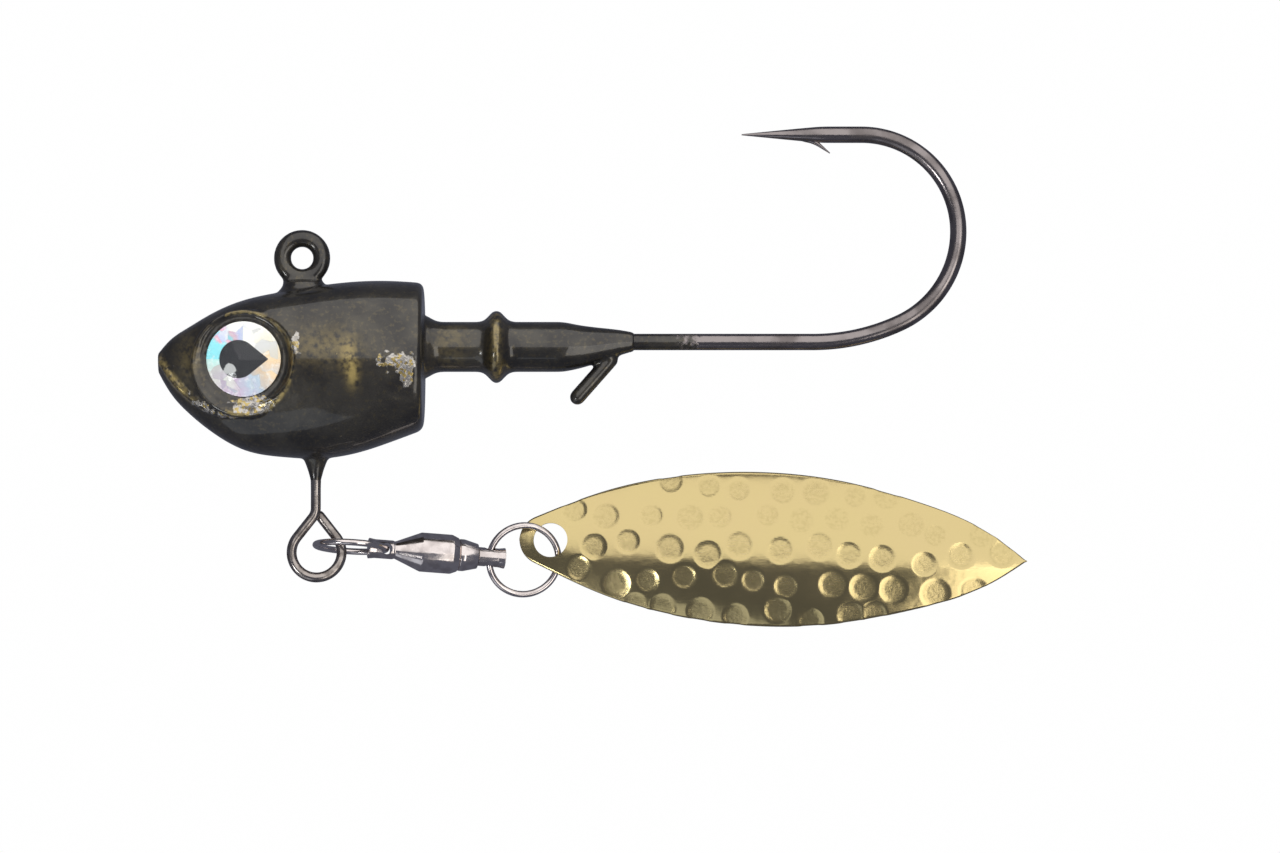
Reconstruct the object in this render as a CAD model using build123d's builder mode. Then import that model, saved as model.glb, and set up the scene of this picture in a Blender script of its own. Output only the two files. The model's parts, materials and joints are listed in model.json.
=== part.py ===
from build123d import *
import os
from math import acos, cos, degrees, hypot, pi, radians, sin

# An underspin jig head, lying on its right cheek: +X runs back from the nose to the hook's bend,
# +Y is the back of the head, where the line tie stands, and +Z points up from the cheek it lies on.
# The origin is under the middle of its bounding box. Millimetres.

# --- head casting -----------------------------------------------------------------------------
MID_Z = 5.26  # height of the head's plane of symmetry, half the head's thickness
REAR_X = -13.45
# Stations along the head: x, belly y, back y, half thickness.
HEAD_STATIONS = [
    (-34.40, 0.45, 1.80, 0.62),
    (-33.60, -0.95, 2.80, 1.65),
    (-32.20, -2.60, 3.85, 2.50),
    (-30.20, -4.25, 5.05, 3.40),
    (-27.60, -5.70, 6.15, 4.25),
    (-24.60, -6.25, 6.80, 4.92),
    (-21.60, -6.37, 7.30, 5.20),
    (-18.60, -5.90, 7.62, 5.25),
    (-15.80, -4.98, 7.65, 5.18),
    (REAR_X, -4.10, 7.50, 5.00),
]
SECTION_POINTS = 12
SECTION_FULLNESS = 0.03
CREST_Y = 1.7  # the line along each cheek where the head is widest
REAR_EDGE_ROUND = 0.55
NECK_FILLET = 0.8

# --- bait keeper, cast with the head ----------------------------------------------------------
KEEPER_Y = 2.45
KEEPER_RADIUS = 1.98
NECK_START_X = -14.6
BARB_RADIUS = 2.8
BARB_X = -7.7
BARB_HALF_WIDTH = 1.2
BARB_CREST_ROUND = 0.35
TAPER_START_X = -1.6
TAPER_END_X = 3.2
TAPER_END_RADIUS = 0.78
PRONG_ROOT = (1.45, 1.6)
PRONG_TIP = (-1.47, -1.68)
PRONG_RADIUS = 0.6

# --- hook -------------------------------------------------------------------------------------
HOOK_WIRE = 1.3
SHANK_Y = 2.84
LINE_TIE_CENTRE = (-23.04, 9.46)
LINE_TIE_WIRE = 1.37
LINE_TIE_RING_RADIUS = 1.555  # to the middle of the wire
LINE_TIE_BORE = 0.92  # radius of the worn land inside the eye
LEG_SPREAD = 0.66  # each leg of the eye stands this far from its centre
LEG_TOP = 1.4  # each leg starts this far below the eye's centre
STUB_END_Y = 6.4
LEG_BEND_RADIUS = 2.2
HEEL_START_X = 17.3
BEND_ARCS = [(16.27, 25.0), (7.93, 65.0), (7.65, 90.0)]  # radius, turn in degrees
POINT_LENGTH = 6.25
POINT_THINNING = [(0.35, 0.45), (0.7, 0.24)]  # share of the point's length, radius there
POINT_TIP_RADIUS = 0.04
POINT_START_X = 17.9
# Hook barb: its corners in the hook's plane, from where the point starts.
HOOK_BARB = [(-1.8, -0.15), (0.05, -0.25), (0.85, -1.5), (0.68, -1.47)]
HOOK_BARB_HALF_WIDTH = 0.24
COLLAR_SHIFT = 0.1  # the collar stands this far behind the eye's centre
COLLAR_RADIUS = 1.62
COLLAR_TOP_Y = 7.7
COLLAR_HEIGHT = 1.6
COLLAR_FLARE = 14.0  # degrees

# --- hanger wire ------------------------------------------------------------------------------
HANGER_WIRE = 0.79
HANGER_X = -21.96
HANGER_TOP_Y = -1.2
HANGER_FOOT = 1.6  # length of the anchor leg cast into the head
HANGER_KINK_Y = -10.7
HANGER_BEND_RADIUS = 0.7
LOOP_CENTRE = (-21.91, -13.79)
LOOP_RADIUS = 1.96  # to the middle of the wire
LOOP_TAIL = 1.05
BELLY_FLARE_RADIUS = 0.75
BELLY_FLARE_Y = -7.0
BELLY_FLARE_HEIGHT = 1.6
BELLY_FLARE = 24.0  # degrees

# --- eyes -------------------------------------------------------------------------------------
EYE_X = -27.4
EYE_Y = 1.45
EYE_SEAT = 3.62  # from the plane of symmetry to the seat, at the eye's centre
EYE_TURN = 7.0  # degrees that each eye looks forward
EYE_RADIUS = 2.95
EYE_GAP = 0.03
SOCKET_RIM_RADIUS = 3.35
SOCKET_RIM_LIFT = 0.35
SOCKET_FLARE = 38.0  # degrees
SOCKET_CUT = 3.0
BOSS_RADIUS = 3.75
BOSS_DEPTH = 2.4
BOSS_FLARE = 8.0  # degrees
FOIL_THICKNESS = 0.12
PUPIL_THICKNESS = 0.04
PUPIL_RADIUS = 1.5
PUPIL_CENTRE_X = -0.42
PUPIL_TIP_X = 1.98
PUPIL_WRAP = 260.0  # degrees of the pupil's round part
DOME_HEIGHT = 0.9
DOME_SHOULDER = (0.55, 0.76)  # shares of the radius and of the height that the dome passes through
DOME_EDGE = 0.08

# --- swivel: distances run along its axis from the centre of the front ring ----------------------
FRONT_RING_CENTRE = Vector(-19.28, -13.36, 3.51)
SWIVEL_YAW = -4.6
SWIVEL_PITCH = 10.7
FRONT_RING_LEAN = 9.0
RING_WIRE = 0.52
RING_RADIUS = 2.79  # to the middle of the wire
CROSS_HOLE = 0.45  # radius
POST_RADIUS = 0.75
POST_FLARE = 0.83
FLARE_LENGTH = 0.5
FRONT_POST_END = 1.4
FRONT_SHOULDER = 3.5
CONE_START_RADIUS = 0.68
NECKING = 0.15  # length over which the post narrows to the cone
BARREL_START = 5.6
BARREL_END = 8.05
BARREL_RADIUS = 1.56
SEAM = 8.62
SEAM_RADIUS = 1.3
BARREL_BORE = 1.16
BARREL_BORE_START = 6.3
CAP_END = 10.17
CAP_END_RADIUS = 0.98
CAP_FACE = 8.05
CAP_BORE = 0.58
WASHER_THICKNESS = 0.15
WASHER_RADIUS = 1.1
BALL_COUNT = 7
BALL_RADIUS = 0.24
BALL_PITCH_RADIUS = 0.82
SPINDLE_NECK = 0.5
SPINDLE_HEAD_RADIUS = 1.08
SPINDLE_HEAD_THICKNESS = 0.6
REAR_HOLE = 11.15
SPINDLE_END = 12.37
SHOULDER_GAP = 0.06
BEARING_GAP = 0.02
REAR_RING_LEAN = 8.5

# --- blade ------------------------------------------------------------------------------------
BLADE_THICKNESS = 0.35
BLADE_YAW = -2.45
BLADE_PITCH = -1.5
BLADE_ROLL = -5.0
BLADE_LENGTH_RADIUS = 90.0
BLADE_WIDTH_RADIUS = 12.0
BLADE_MIDDLE = 19.6  # from the nose to the widest place
BLADE_NOSE = (-6.05, -12.61)
BLADE_CROWN_Z = 3.13  # top of the crown at the widest place
# Half outline from the nose to the tail: distance from the nose, half width.
BLADE_SIDE = [(1.3, 1.9), (6.5, 4.1), (12.9, 5.7), (19.6, 6.22), (25.5, 5.77), (31.8, 4.31), (38.2, 1.66)]
BLADE_TAIL = 40.52
BLADE_HOLE_FROM_NOSE = 2.51
BLADE_HOLE = 1.36
BLADE_REACH = 6.0  # half depth of the block that the outline cuts from the sheet
SHEET_SPREAD = 40.0  # degrees of the sheet's section each side of its crown
SHEET_SWEEP = 16.0  # degrees of the sheet's length each side of its crown

os.makedirs("parts", exist_ok=True)

mid_plane = Plane.XY.offset(MID_Z)


def turned(vector, axis, angle):
    """The vector turned about an axis through the origin, by the right-hand rule."""
    return vector.rotate(Axis((0, 0, 0), axis), angle)


# The swivel's axis, and across it the directions nearest to +Y and +Z.
swivel_dir = turned(turned(Vector(1, 0, 0), (0, 1, 0), SWIVEL_PITCH), (0, 0, 1), SWIVEL_YAW)
swivel_up = (Vector(0, 0, 1) - swivel_dir * swivel_dir.Z).normalized()
swivel_side = swivel_up.cross(swivel_dir)
swivel_axis = Axis(FRONT_RING_CENTRE, swivel_dir)
# The front ring stands on edge and the rear ring lies down, each leaning a little about the axis.
front_hole_dir = turned(swivel_up, swivel_dir, -FRONT_RING_LEAN)
front_ring_normal = turned(swivel_side, swivel_dir, -FRONT_RING_LEAN)
rear_hole_dir = turned(swivel_side, swivel_dir, REAR_RING_LEAN)
rear_ring_normal = turned(swivel_up, swivel_dir, REAR_RING_LEAN)
rear_ring_centre = FRONT_RING_CENTRE + swivel_dir * (REAR_HOLE + RING_RADIUS)
swivel_profile_plane = Plane(origin=FRONT_RING_CENTRE, x_dir=swivel_dir, z_dir=swivel_side)


def eye_plane(side):
    """The seat of the eye on one cheek: side is +1 for the upper cheek, -1 for the lower."""
    lean = radians(EYE_TURN)
    seat = (EYE_X, EYE_Y, MID_Z + side * EYE_SEAT)
    return Plane(origin=seat, x_dir=(cos(lean), 0, side * sin(lean)), z_dir=(-sin(lean), 0, side * cos(lean)))


def section_points(belly_y, back_y, half_thickness):
    """Points round a section of the head: an ellipse, full at its shoulders, with its widest place at the crest."""
    points = []
    middle_y = (belly_y + back_y) / 2
    half_height = (back_y - belly_y) / 2
    for step in range(SECTION_POINTS):
        angle = 2 * pi * step / SECTION_POINTS
        fullness = 1 + SECTION_FULLNESS * sin(2 * angle) ** 2
        y = middle_y + half_height * cos(angle) * fullness + (CREST_Y - middle_y) * sin(angle) ** 2
        points.append((y, MID_Z + half_thickness * sin(angle) * fullness))
    return points


SIDES = {"left": 1, "right": -1}

# Hook: an eye with two legs, one of which runs down into the head and back as the shank.
with BuildPart() as hook:
    leg_x = LINE_TIE_CENTRE[0] + LEG_SPREAD
    leg_top_y = LINE_TIE_CENTRE[1] - LEG_TOP
    with BuildLine(mid_plane) as hook_path:
        leg = Line((leg_x, leg_top_y), (leg_x, SHANK_Y + LEG_BEND_RADIUS))
        knee = JernArc(leg @ 1, (0, -1), LEG_BEND_RADIUS, 90)
        shank = Line(knee @ 1, (HEEL_START_X, SHANK_Y))
        curve_end = shank
        for arc_radius, arc_turn in BEND_ARCS:
            curve_end = JernArc(curve_end @ 1, curve_end % 1, arc_radius, arc_turn)
        point_y = (curve_end @ 1).Y
        Line(curve_end @ 1, (POINT_START_X, point_y))
    with BuildSketch(Plane(origin=hook_path.line @ 0, z_dir=hook_path.line % 0)):
        Circle(HOOK_WIRE / 2)
    sweep()
    # point: a spear that thins to the tip
    with BuildSketch(mid_plane):
        with BuildLine():
            tip_x = POINT_START_X - POINT_LENGTH
            thinning = [(POINT_START_X - share * POINT_LENGTH, point_y + radius) for share, radius in POINT_THINNING]
            Polyline(
                (POINT_START_X, point_y),
                (POINT_START_X, point_y + HOOK_WIRE / 2),
                *thinning,
                (tip_x, point_y + POINT_TIP_RADIUS),
                (tip_x, point_y),
                close=True,
            )
        make_face()
    revolve(axis=Axis((tip_x, point_y, MID_Z), (1, 0, 0)))
    # barb: a thin sliver raised from the inside of the point
    with BuildSketch(mid_plane):
        with BuildLine():
            Polyline(*[(POINT_START_X + x, point_y + y) for x, y in HOOK_BARB], close=True)
        make_face()
    extrude(amount=HOOK_BARB_HALF_WIDTH, both=True)
    # line tie and the short leg beside the long one
    with BuildSketch(Plane.XZ.offset(-LINE_TIE_CENTRE[1])):
        with Locations((LINE_TIE_CENTRE[0] + LINE_TIE_RING_RADIUS, MID_Z)):
            Circle(LINE_TIE_WIRE / 2)
    revolve(axis=Axis((*LINE_TIE_CENTRE, MID_Z), (0, 0, 1)))
    with BuildSketch(Plane.XZ.offset(-STUB_END_Y)):
        with Locations((LINE_TIE_CENTRE[0] - LEG_SPREAD, MID_Z)):
            Circle(HOOK_WIRE / 2)
    extrude(amount=-(leg_top_y - STUB_END_Y))
    with BuildSketch(mid_plane):
        with Locations(LINE_TIE_CENTRE):
            Circle(LINE_TIE_BORE)
    extrude(amount=LINE_TIE_WIRE, both=True, mode=Mode.SUBTRACT)

# Hanger wire: an anchor leg in the head, a straight shaft and a loop that closes beside it.
with BuildPart() as hanger_wire:
    with BuildLine(mid_plane) as hanger_path:
        reach = hypot(HANGER_X - LOOP_CENTRE[0], HANGER_KINK_Y - LOOP_CENTRE[1])
        half_gap = degrees(acos(LOOP_RADIUS / reach))
        loop = CenterArc(LOOP_CENTRE, LOOP_RADIUS, 90 + half_gap, 360 - 2 * half_gap)
        FilletPolyline(
            (HANGER_X - HANGER_FOOT, HANGER_TOP_Y),
            (HANGER_X, HANGER_TOP_Y),
            (HANGER_X, HANGER_KINK_Y),
            tuple(loop @ 0)[:2],
            radius=HANGER_BEND_RADIUS,
        )
        PolarLine(loop @ 1, LOOP_TAIL, direction=loop % 1)
    with BuildSketch(Plane(origin=hanger_path.line @ 0, z_dir=hanger_path.line % 0)):
        Circle(HANGER_WIRE / 2)
    sweep()

# Head: a casting through its stations, with the keeper, its barb and its prong.
with BuildPart() as lead_head:
    for station_x, belly_y, back_y, half_thickness in HEAD_STATIONS:
        with BuildSketch(Plane.YZ.offset(station_x)):
            with BuildLine():
                Spline(*section_points(belly_y, back_y, half_thickness), periodic=True)
            make_face()
    loft()
    fillet(lead_head.faces().sort_by(Axis.X)[-1].edges(), REAR_EDGE_ROUND)
    # keeper: neck, ring barb and rear body turned about one axis
    with BuildSketch(mid_plane):
        with BuildLine():
            Polyline(
                (NECK_START_X, KEEPER_Y),
                (NECK_START_X, KEEPER_Y + KEEPER_RADIUS),
                (BARB_X - BARB_HALF_WIDTH, KEEPER_Y + KEEPER_RADIUS),
                (BARB_X, KEEPER_Y + BARB_RADIUS),
                (BARB_X + BARB_HALF_WIDTH, KEEPER_Y + KEEPER_RADIUS),
                (TAPER_START_X, KEEPER_Y + KEEPER_RADIUS),
                (TAPER_START_X, KEEPER_Y),
                close=True,
            )
        make_face()
    revolve(axis=Axis((0, KEEPER_Y, MID_Z), (1, 0, 0)))
    barb_crest = lead_head.edges().filter_by(GeomType.CIRCLE).filter_by_position(Axis.X, BARB_X, BARB_X)
    fillet(barb_crest, BARB_CREST_ROUND)
    seat_edge = lead_head.edges().filter_by(GeomType.CIRCLE).filter_by_position(Axis.X, REAR_X, REAR_X)
    fillet(seat_edge.sort_by(SortBy.RADIUS)[0], NECK_FILLET)
    with BuildSketch(Plane.YZ.offset(TAPER_START_X)):
        with Locations((KEEPER_Y, MID_Z)):
            Circle(KEEPER_RADIUS)
    with BuildSketch(Plane.YZ.offset(TAPER_END_X)):
        with Locations((SHANK_Y, MID_Z)):
            Circle(TAPER_END_RADIUS)
    loft()
    # prong that holds the bait, with a round end
    with BuildLine(mid_plane) as prong_path:
        Line(PRONG_ROOT, PRONG_TIP)
    with BuildSketch(Plane(origin=prong_path.line @ 0, z_dir=prong_path.line % 0)):
        Circle(PRONG_RADIUS)
    sweep()
    with Locations((*PRONG_TIP, MID_Z)):
        Sphere(PRONG_RADIUS)
    # collar under the line tie and flare round the hanger wire
    with BuildSketch(Plane.XZ.offset(-COLLAR_TOP_Y)):
        with Locations((LINE_TIE_CENTRE[0] + COLLAR_SHIFT, MID_Z)):
            Circle(COLLAR_RADIUS)
    extrude(amount=COLLAR_HEIGHT, taper=-COLLAR_FLARE)
    with BuildSketch(Plane.XZ.offset(-BELLY_FLARE_Y)):
        with Locations((HANGER_X, MID_Z)):
            Circle(BELLY_FLARE_RADIUS)
    extrude(amount=-BELLY_FLARE_HEIGHT, taper=-BELLY_FLARE)
    # bosses that carry the eye sockets past the round of the cheeks
    for side in SIDES.values():
        with BuildSketch(eye_plane(side).offset(SOCKET_RIM_LIFT)):
            Circle(BOSS_RADIUS)
        extrude(amount=-BOSS_DEPTH, taper=-BOSS_FLARE)
    # eye sockets
    for side in SIDES.values():
        with BuildSketch(eye_plane(side)):
            Circle(EYE_RADIUS + EYE_GAP)
        extrude(amount=SOCKET_CUT, mode=Mode.SUBTRACT)
        with BuildSketch(eye_plane(side).offset(SOCKET_RIM_LIFT)):
            Circle(SOCKET_RIM_RADIUS)
        extrude(amount=SOCKET_CUT, taper=-SOCKET_FLARE, mode=Mode.SUBTRACT)
    # the two wires are cast in
    add(hook.part, mode=Mode.SUBTRACT)
    add(hanger_wire.part, mode=Mode.SUBTRACT)


def make_eye(name, side):
    """One eye: the foil on its seat, the printed pupil on the foil and the clear dome over both."""
    seat = eye_plane(side)
    with BuildPart() as foil:
        with BuildSketch(seat):
            Circle(EYE_RADIUS)
        extrude(amount=FOIL_THICKNESS)
    with BuildPart() as pupil:
        with BuildSketch(seat.offset(FOIL_THICKNESS)):
            with BuildLine():
                wrap = CenterArc((PUPIL_CENTRE_X, 0), PUPIL_RADIUS, 180 - PUPIL_WRAP / 2, PUPIL_WRAP)
                Polyline(wrap @ 0, (PUPIL_TIP_X, 0), wrap @ 1)
            make_face()
        extrude(amount=PUPIL_THICKNESS)
    with BuildPart() as dome:
        cut = Plane(origin=seat.origin, x_dir=seat.x_dir, z_dir=-seat.y_dir)
        with BuildSketch(cut):
            with BuildLine():
                ThreePointArc(
                    (0, FOIL_THICKNESS + DOME_HEIGHT),
                    (EYE_RADIUS * DOME_SHOULDER[0], FOIL_THICKNESS + DOME_HEIGHT * DOME_SHOULDER[1]),
                    (EYE_RADIUS, FOIL_THICKNESS + DOME_EDGE),
                )
                Polyline(
                    (EYE_RADIUS, FOIL_THICKNESS + DOME_EDGE),
                    (EYE_RADIUS, FOIL_THICKNESS),
                    (0, FOIL_THICKNESS),
                    (0, FOIL_THICKNESS + DOME_HEIGHT),
                )
            make_face()
        revolve(axis=Axis(seat.origin, seat.z_dir))
        add(pupil.part, mode=Mode.SUBTRACT)
    for kind, piece in (("foil", foil), ("pupil", pupil), ("dome", dome)):
        piece.part.label = f"eye_{kind}_{name}"
        export_step(piece.part, f"parts/eye_{kind}_{name}.step")


for side_name, side in SIDES.items():
    make_eye(side_name, side)


def along(distance):
    """The plane across the swivel's axis at a distance from the centre of the front ring."""
    return Plane(origin=FRONT_RING_CENTRE + swivel_dir * distance, x_dir=swivel_side, z_dir=swivel_dir)


# Swivel barrel: one turned shell with the front post, its cross hole and the bearing's bore.
with BuildPart() as swivel_barrel:
    with BuildSketch(swivel_profile_plane):
        with BuildLine():
            Polyline(
                (FRONT_POST_END, 0),
                (FRONT_POST_END, -POST_FLARE),
                (FRONT_POST_END + FLARE_LENGTH, -POST_RADIUS),
                (FRONT_SHOULDER - NECKING, -POST_RADIUS),
                (FRONT_SHOULDER, -CONE_START_RADIUS),
                (BARREL_START, -BARREL_RADIUS),
                (BARREL_END, -BARREL_RADIUS),
                (SEAM, -SEAM_RADIUS),
                (SEAM, -BARREL_BORE),
                (BARREL_BORE_START, -BARREL_BORE),
                (BARREL_BORE_START, 0),
                close=True,
            )
        make_face()
    revolve(axis=swivel_axis)
    with BuildSketch(Plane(origin=along(RING_RADIUS).origin, z_dir=front_hole_dir)):
        Circle(CROSS_HOLE)
    extrude(amount=2 * POST_RADIUS, both=True, mode=Mode.SUBTRACT)

# End cap: a stepped collar pressed into the barrel, which the spindle turns in.
with BuildPart() as swivel_end_cap:
    with BuildSketch(swivel_profile_plane):
        with BuildLine():
            Polyline(
                (CAP_FACE, -CAP_BORE),
                (CAP_FACE, -BARREL_BORE),
                (SEAM, -BARREL_BORE),
                (SEAM, -SEAM_RADIUS),
                (CAP_END, -CAP_END_RADIUS),
                (CAP_END, -CAP_BORE),
                close=True,
            )
        make_face()
    revolve(axis=swivel_axis)

washer_face = CAP_FACE - WASHER_THICKNESS
ball_centre = washer_face - BEARING_GAP - BALL_RADIUS
head_face = ball_centre - BALL_RADIUS - BEARING_GAP

with BuildPart() as race_washer:
    with BuildSketch(along(washer_face)):
        Circle(WASHER_RADIUS)
        Circle(CAP_BORE, mode=Mode.SUBTRACT)
    extrude(amount=WASHER_THICKNESS)

with BuildPart() as bearing_balls:
    with Locations(along(ball_centre)):
        with PolarLocations(BALL_PITCH_RADIUS, BALL_COUNT):
            Sphere(BALL_RADIUS)

# Spindle: a head behind the balls, a neck through the cap and a post with its cross hole.
with BuildPart() as swivel_spindle:
    with BuildSketch(swivel_profile_plane):
        with BuildLine():
            Polyline(
                (head_face - SPINDLE_HEAD_THICKNESS, 0),
                (head_face - SPINDLE_HEAD_THICKNESS, -SPINDLE_HEAD_RADIUS),
                (head_face, -SPINDLE_HEAD_RADIUS),
                (head_face, -SPINDLE_NECK),
                (CAP_END + SHOULDER_GAP, -SPINDLE_NECK),
                (CAP_END + SHOULDER_GAP, -POST_RADIUS),
                (SPINDLE_END - FLARE_LENGTH, -POST_RADIUS),
                (SPINDLE_END, -POST_FLARE),
                (SPINDLE_END, 0),
                close=True,
            )
        make_face()
    revolve(axis=swivel_axis)
    with BuildSketch(Plane(origin=along(REAR_HOLE).origin, z_dir=rear_hole_dir)):
        Circle(CROSS_HOLE)
    extrude(amount=2 * POST_RADIUS, both=True, mode=Mode.SUBTRACT)

with BuildPart() as front_ring:
    with BuildSketch(Plane(origin=FRONT_RING_CENTRE, x_dir=swivel_dir, z_dir=front_hole_dir)):
        with Locations((RING_RADIUS, 0)):
            Circle(RING_WIRE / 2)
    revolve(axis=Axis(FRONT_RING_CENTRE, front_ring_normal))

with BuildPart() as rear_ring:
    with BuildSketch(Plane(origin=rear_ring_centre, x_dir=swivel_dir, z_dir=rear_hole_dir)):
        with Locations((-RING_RADIUS, 0)):
            Circle(RING_WIRE / 2)
    revolve(axis=Axis(rear_ring_centre, rear_ring_normal))

# Blade: a willow leaf cut from sheet that is crowned both along and across.
blade_dir = turned(turned(Vector(1, 0, 0), (0, 1, 0), BLADE_PITCH), (0, 0, 1), BLADE_YAW)
blade_side = turned(Vector(0, 0, 1).cross(blade_dir).normalized(), blade_dir, BLADE_ROLL)
blade_up = blade_dir.cross(blade_side)
blade_nose = Vector(*BLADE_NOSE, 0)
crown = blade_nose + blade_dir * BLADE_MIDDLE
crown_top = Vector(crown.X, crown.Y, BLADE_CROWN_Z)
blade_bend = Axis(crown_top - blade_up * BLADE_LENGTH_RADIUS, blade_side)
tail_up = turned(blade_up, blade_side, -SHEET_SWEEP)
blade_section = Plane(
    origin=blade_bend.position + tail_up * BLADE_LENGTH_RADIUS,
    x_dir=blade_side,
    z_dir=turned(blade_dir, blade_side, -SHEET_SWEEP),
)
outline_plane = Plane(origin=crown_top, x_dir=blade_dir, z_dir=blade_up)

with BuildPart() as blade:
    with BuildSketch(blade_section):
        with BuildLine():
            top = CenterArc((0, -BLADE_WIDTH_RADIUS), BLADE_WIDTH_RADIUS, 90 - SHEET_SPREAD, 2 * SHEET_SPREAD)
            under = CenterArc(
                (0, -BLADE_WIDTH_RADIUS), BLADE_WIDTH_RADIUS - BLADE_THICKNESS, 90 - SHEET_SPREAD, 2 * SHEET_SPREAD
            )
            Line(top @ 0, under @ 0)
            Line(top @ 1, under @ 1)
        make_face()
    revolve(axis=blade_bend, revolution_arc=2 * SHEET_SWEEP)
    with BuildSketch(outline_plane):
        with BuildLine():
            side_points = [(x - BLADE_MIDDLE, y) for x, y in BLADE_SIDE]
            far_points = [(x, -y) for x, y in reversed(side_points)]
            tail_point = (BLADE_TAIL - BLADE_MIDDLE, 0)
            Spline(*side_points, tail_point)
            Spline(tail_point, *far_points)
            ThreePointArc(far_points[-1], (-BLADE_MIDDLE, 0), side_points[0])
        make_face()
    extrude(amount=BLADE_REACH, both=True, mode=Mode.INTERSECT)
    with BuildSketch(outline_plane):
        with Locations((BLADE_HOLE_FROM_NOSE - BLADE_MIDDLE, 0)):
            Circle(BLADE_HOLE)
    extrude(amount=BLADE_REACH, both=True, mode=Mode.SUBTRACT)

PIECES = {
    "hook": hook,
    "hanger_wire": hanger_wire,
    "lead_head": lead_head,
    "swivel_barrel": swivel_barrel,
    "swivel_end_cap": swivel_end_cap,
    "race_washer": race_washer,
    "bearing_balls": bearing_balls,
    "swivel_spindle": swivel_spindle,
    "front_ring": front_ring,
    "rear_ring": rear_ring,
    "blade": blade,
}
for piece_name, piece in PIECES.items():
    piece.part.label = piece_name
    export_step(piece.part, f"parts/{piece_name}.step")
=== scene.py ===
"""Looks of an underspin jig head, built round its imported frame.

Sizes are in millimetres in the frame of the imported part: +X runs from the nose to the hook's bend, +Y points
to the back of the head, +Z points up from the cheek it lies on. They become metres as a mesh is written.
"""

import json
import logging
from dataclasses import dataclass, field
from enum import Enum
from math import acos, hypot, pi, radians, sin
from typing import Any, Mapping, Sequence, Union

import bpy
import numpy as np
from mathutils import Matrix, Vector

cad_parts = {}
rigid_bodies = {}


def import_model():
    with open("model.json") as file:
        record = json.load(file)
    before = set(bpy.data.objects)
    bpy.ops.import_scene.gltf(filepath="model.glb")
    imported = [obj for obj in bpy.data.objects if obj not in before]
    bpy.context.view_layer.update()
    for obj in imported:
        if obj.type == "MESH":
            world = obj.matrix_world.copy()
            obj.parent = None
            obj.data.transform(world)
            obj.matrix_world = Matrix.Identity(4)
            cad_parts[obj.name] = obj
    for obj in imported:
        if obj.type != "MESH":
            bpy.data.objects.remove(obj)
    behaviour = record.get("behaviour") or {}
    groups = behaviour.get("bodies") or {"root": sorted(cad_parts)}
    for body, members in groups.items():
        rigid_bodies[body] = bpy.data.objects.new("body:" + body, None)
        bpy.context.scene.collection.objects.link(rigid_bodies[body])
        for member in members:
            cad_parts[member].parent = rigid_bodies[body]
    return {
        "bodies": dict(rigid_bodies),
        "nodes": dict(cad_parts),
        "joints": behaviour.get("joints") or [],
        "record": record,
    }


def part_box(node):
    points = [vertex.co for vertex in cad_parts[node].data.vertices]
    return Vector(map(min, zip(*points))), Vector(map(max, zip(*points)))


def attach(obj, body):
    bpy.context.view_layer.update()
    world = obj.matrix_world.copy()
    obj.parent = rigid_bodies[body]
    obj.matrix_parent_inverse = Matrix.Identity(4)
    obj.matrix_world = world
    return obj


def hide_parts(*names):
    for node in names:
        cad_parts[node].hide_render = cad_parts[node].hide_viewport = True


MM = 0.001
X_AXIS = np.array([1.0, 0.0, 0.0])
Y_AXIS = np.array([0.0, 1.0, 0.0])
Z_AXIS = np.array([0.0, 0.0, 1.0])
FAR = 99.0
Colour = tuple[float, float, float]
Point2 = tuple[float, float]
Point3 = tuple[float, float, float]
log = logging.getLogger("jig_head")


class Side(Enum):
    """A cheek of the head, as the sign of its height over the plane of symmetry."""

    LEFT = 1
    RIGHT = -1


class Ends(Enum):
    """How the first and last ring of a surface are shut."""

    JOINED = "joined"
    CAPPED = "capped"


# --- numbers and curves --------------------------------------------------------------------------------


def unit(vector: Sequence[float]) -> np.ndarray:
    """Vectors scaled to length one."""
    array = np.asarray(vector, float)
    return array / np.linalg.norm(array, axis=-1, keepdims=True)


def smooth_step(value: np.ndarray, low: float, high: float) -> np.ndarray:
    """An ease from 0 at low to 1 at high: 3t squared less 2t cubed, t being the clipped share of the way.

    Args:
        value: numbers to ease.
        low: value that gives 0.
        high: value that gives 1.

    Returns:
        The eased shares.
    """
    share = np.clip((np.asarray(value, float) - low) / (high - low), 0.0, 1.0)
    return share * share * (3.0 - 2.0 * share)


def spline_values(knots: Sequence[float], values: np.ndarray, at: np.ndarray) -> np.ndarray:
    """A natural cubic spline: its second derivatives solve one linear system, with none at the two ends.

    Args:
        knots: rising places where the values are known.
        values: known values, one row for each knot.
        at: places to read.

    Returns:
        One row of values for each place.
    """
    knots = np.asarray(knots, float)
    values = np.asarray(values, float).reshape(len(knots), -1)
    step = np.diff(knots)
    slope = np.diff(values, axis=0) / step[:, None]
    count = len(knots)
    system = np.eye(count)
    inner = np.arange(1, count - 1)
    system[inner, inner - 1] = step[:-1]
    system[inner, inner] = 2.0 * (step[:-1] + step[1:])
    system[inner, inner + 1] = step[1:]
    right = np.zeros_like(values)
    right[1:-1] = 6.0 * (slope[1:] - slope[:-1])
    bend = np.linalg.solve(system, right)
    cell = np.clip(np.searchsorted(knots, at, side="right") - 1, 0, count - 2)
    width = step[cell][:, None]
    after = (np.asarray(at, float) - knots[cell])[:, None]
    before = width - after
    cubic = (bend[cell] * before**3 + bend[cell + 1] * after**3) / (6.0 * width)
    left_line = (values[cell] / width - bend[cell] * width / 6.0) * before
    right_line = (values[cell + 1] / width - bend[cell + 1] * width / 6.0) * after
    return cubic + left_line + right_line


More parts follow.
